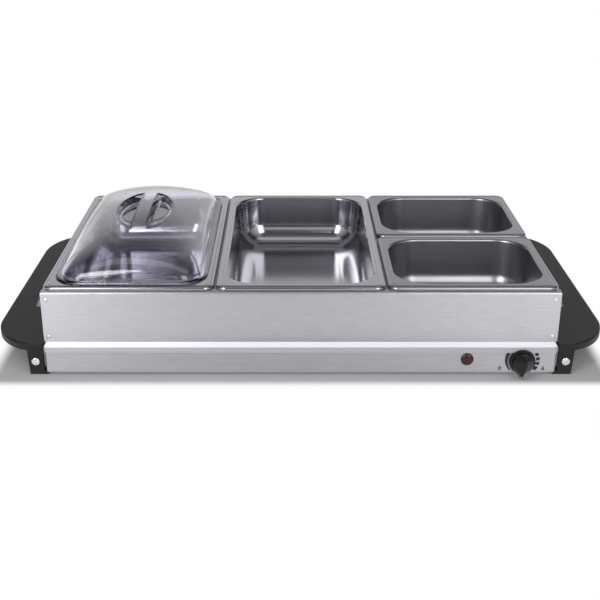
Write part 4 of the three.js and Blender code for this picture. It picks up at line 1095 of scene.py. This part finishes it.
class SERVER_OT_stage(bpy.types.Operator):
    """Sets the camera, the lamps, the floor and the light from all round"""

    bl_idname = "server.stage"
    bl_label = "Stage"

    def execute(self, context):
        scene = context.scene
        stage = scene.buffet_server.stage
        scene.view_settings.view_transform = "Standard"
        camera = bpy.data.cameras.new("photo_camera")
        camera.lens = stage.lens
        camera.sensor_width = 36
        camera.shift_x = 0.016
        camera.clip_start = 0.05
        scene.camera = new_object("photo_camera", camera)
        scene.camera.location = (stage.camera_x, stage.camera_y, stage.camera_z)
        scene.camera.rotation_euler = (pi / 2 - stage.tilt, 0, 0)
        self.floor(stage)
        scene.world = self.room(stage)
        self.lamp("left_soft_box", (-0.69, -1.16, 0.86), (0.48, 1.3), stage.left_box)
        self.lamp("right_soft_box", (0.57, -1.22, 0.86), (0.66, 1.3), stage.right_box)
        self.lamp("top_panel", (0, 0.1, 1.7), (1.6, 0.6), stage.top_panel)
        return {"FINISHED"}

    def lamp(self, name, place, size, power):
        """A soft box of light that faces the object."""
        light = bpy.data.lights.new(name, "AREA")
        light.shape = "RECTANGLE"
        light.size, light.size_y = size
        light.energy = power
        holder = new_object(name, light)
        holder.location = place
        aim = Vector((0, 0, 0.05)) - Vector(place)
        holder.rotation_euler = aim.to_track_quat("-Z", "Y").to_euler()

    def outside_base(self, tree, place):
        """How far a point of the floor lies outside the base and the inner part of its handles."""
        half = (BASE_HALF_X + 40 * MM, BASE_HALF_Y, 0)
        middle = add(tree, "VectorMath", (place, (0, BASE_Y, 0)), operation="SUBTRACT")
        size = add(tree, "VectorMath", (middle,), operation="ABSOLUTE")
        past = add(tree, "VectorMath", (size, half), operation="SUBTRACT")
        over = add(tree, "VectorMath", (past, (0, 0, 0)), operation="MAXIMUM")
        return add(tree, "VectorMath", (over,), "Value", operation="LENGTH")

    def floor(self, stage):
        """A wide grey floor that turns white away from the object; the lamps' shadow is kept, and the grey
        near the base is painted shadow as well.
        """
        reach, low = 30.0, -0.2 * MM
        corners = [Vector((reach * x, reach * y, low)) for x, y in ((-1, -1), (1, -1), (1, 1), (-1, 1))]
        floor = new_piece("studio_floor", corners, [(0, 1, 2, 3)])
        material, tree = new_material("white_studio_floor")
        grain = blend(pattern(tree, 4 * MM), shaded(stage.floor, 0.995), stage.floor)
        matt = add(tree, "BsdfDiffuse", (add(tree, "Mix", grain, "Result", data_type="RGBA"),))
        white = add(tree, "Emission", ((1, 1, 1, 1), 1.0))
        outside = self.outside_base(tree, add(tree, "TexCoord", output="Object"))
        # Grey near the base, white away from it: painted shadow round the base on top of the lamps' own
        # shadow
        share_white = add(
            tree, "MapRange", (outside, stage.shadow_reach / 4, stage.shadow_reach, 0.05, 1.0),
            interpolation_type="SMOOTHSTEP")
        # White by that share to the camera and through glass, nearly white to metal, no light on the object
        rays = add(tree, "LightPath").node.outputs
        first = add(tree, "Math", (rays["Is Camera Ray"], rays["Is Transmission Ray"]), operation="MAXIMUM")
        to_eye = add(tree, "Math", (first, share_white), operation="MULTIPLY")
        nearly_white = add(tree, "MapRange", (share_white, 0.0, 1.0, 0.72, 1.0))
        to_metal = add(tree, "Math", (rays["Is Glossy Ray"], nearly_white), operation="MULTIPLY")
        seen = add(tree, "Math", (to_eye, to_metal), operation="MAXIMUM")
        add(tree, "OutputMaterial", (add(tree, "MixShader", (seen, matt, white)),))
        floor.data.materials.append(material)

    def room(self, stage):
        """White behind the object for the camera; else a room lit from the front, dark in its middle."""
        world = bpy.data.worlds.new("studio_room")
        world.use_nodes = True
        tree = world.node_tree
        tree.nodes.clear()
        ray = add(tree, "TexCoord", output="Generated")
        x, y, z = add(tree, "SeparateXYZ", (ray,)).node.outputs
        front = add(tree, "MapRange", (y, 0.1, -0.6, 0.0, 1.0))
        sideways = add(tree, "Math", (x,), operation="ABSOLUTE")
        middle = add(tree, "MapRange", (sideways, 0.14, 0.4, 0.1, 1.0))
        above_strip = add(tree, "Math", (z, 0.44), operation="SUBTRACT")
        off_strip = add(tree, "Math", (above_strip,), operation="ABSOLUTE")
        strip = add(tree, "MapRange", (off_strip, 0.08, 0.17, 0.8, 0.0))
        above = add(tree, "MapRange", (z, 0.75, 0.97, 0.0, 0.3))
        rear = add(tree, "MapRange", (y, 0.3, 0.7, 0.0, 1.0))
        low = add(tree, "MapRange", (z, 0.35, 0.75, 0.95, 0.1))
        lit = add(tree, "Math", (middle, strip), operation="MAXIMUM")
        before = add(tree, "Math", (front, lit), operation="MULTIPLY")
        behind = add(tree, "Math", (rear, low), operation="MULTIPLY")
        around = add(tree, "Math", (before, behind), operation="MAXIMUM")
        overhead = add(tree, "Math", (above, 0.05), operation="MAXIMUM")
        share_lit = add(tree, "Math", (around, overhead), operation="MAXIMUM")
        strength = add(tree, "Math", (share_lit, stage.dome), operation="MULTIPLY")
        room = add(tree, "Background", ((1, 1, 1, 1), strength))
        white = add(tree, "Background", ((1, 1, 1, 1), 1.0))
        rays = add(tree, "LightPath").node.outputs
        first = add(tree, "Math", (rays["Is Camera Ray"], rays["Is Transmission Ray"]), operation="MAXIMUM")
        bounces = add(tree, "Math", (rays["Glossy Depth"], rays["Diffuse Depth"]), operation="ADD")
        unbounced = add(tree, "Math", (bounces, 0.5), operation="LESS_THAN")
        seen = add(tree, "Math", (first, unbounced), operation="MULTIPLY")
        add(tree, "OutputWorld", (add(tree, "MixShader", (seen, room, white)),))
        return world


class SERVER_PT_panel(bpy.types.Panel):
    """Lists the buffet server's pieces, its stage and their settings"""

    bl_idname = "SERVER_PT_panel"
    bl_label = "Buffet Server"
    bl_space_type = "VIEW_3D"
    bl_region_type = "UI"
    bl_category = "Buffet Server"

    def draw(self, context):
        for operator in OPERATORS:
            self.layout.operator(operator.bl_idname)
        for name in ServerSettings.__annotations__:
            values = getattr(context.scene.buffet_server, name)
            for setting in type(values).__annotations__:
                self.layout.prop(values, setting)


SETTINGS = [
    SteelSettings, PanSettings, LidSettings, HandleSettings, KnobSettings, StageSettings, ServerSettings]
OPERATORS = [
    SERVER_OT_base,
    SERVER_OT_frame,
    SERVER_OT_pans,
    SERVER_OT_lid,
    SERVER_OT_handles,
    SERVER_OT_knob,
    SERVER_OT_lamp,
    SERVER_OT_fasteners,
    SERVER_OT_kept,
    SERVER_OT_stage,
]


def register():
    """Registers the settings, the operators and the panel."""
    for item in [*SETTINGS, *OPERATORS, SERVER_PT_panel]:
        bpy.utils.register_class(item)
    bpy.types.Scene.buffet_server = bpy.props.PointerProperty(type=ServerSettings)


def unregister():
    """Takes everything out again."""
    del bpy.types.Scene.buffet_server
    for item in reversed([*SETTINGS, *OPERATORS, SERVER_PT_panel]):
        bpy.utils.unregister_class(item)


def main():
    """Builds every piece and the stage."""
    register()
    for operator in OPERATORS:
        family, name = operator.bl_idname.split(".")
        getattr(getattr(bpy.ops, family), name)()


if __name__ == "__main__":
    main()
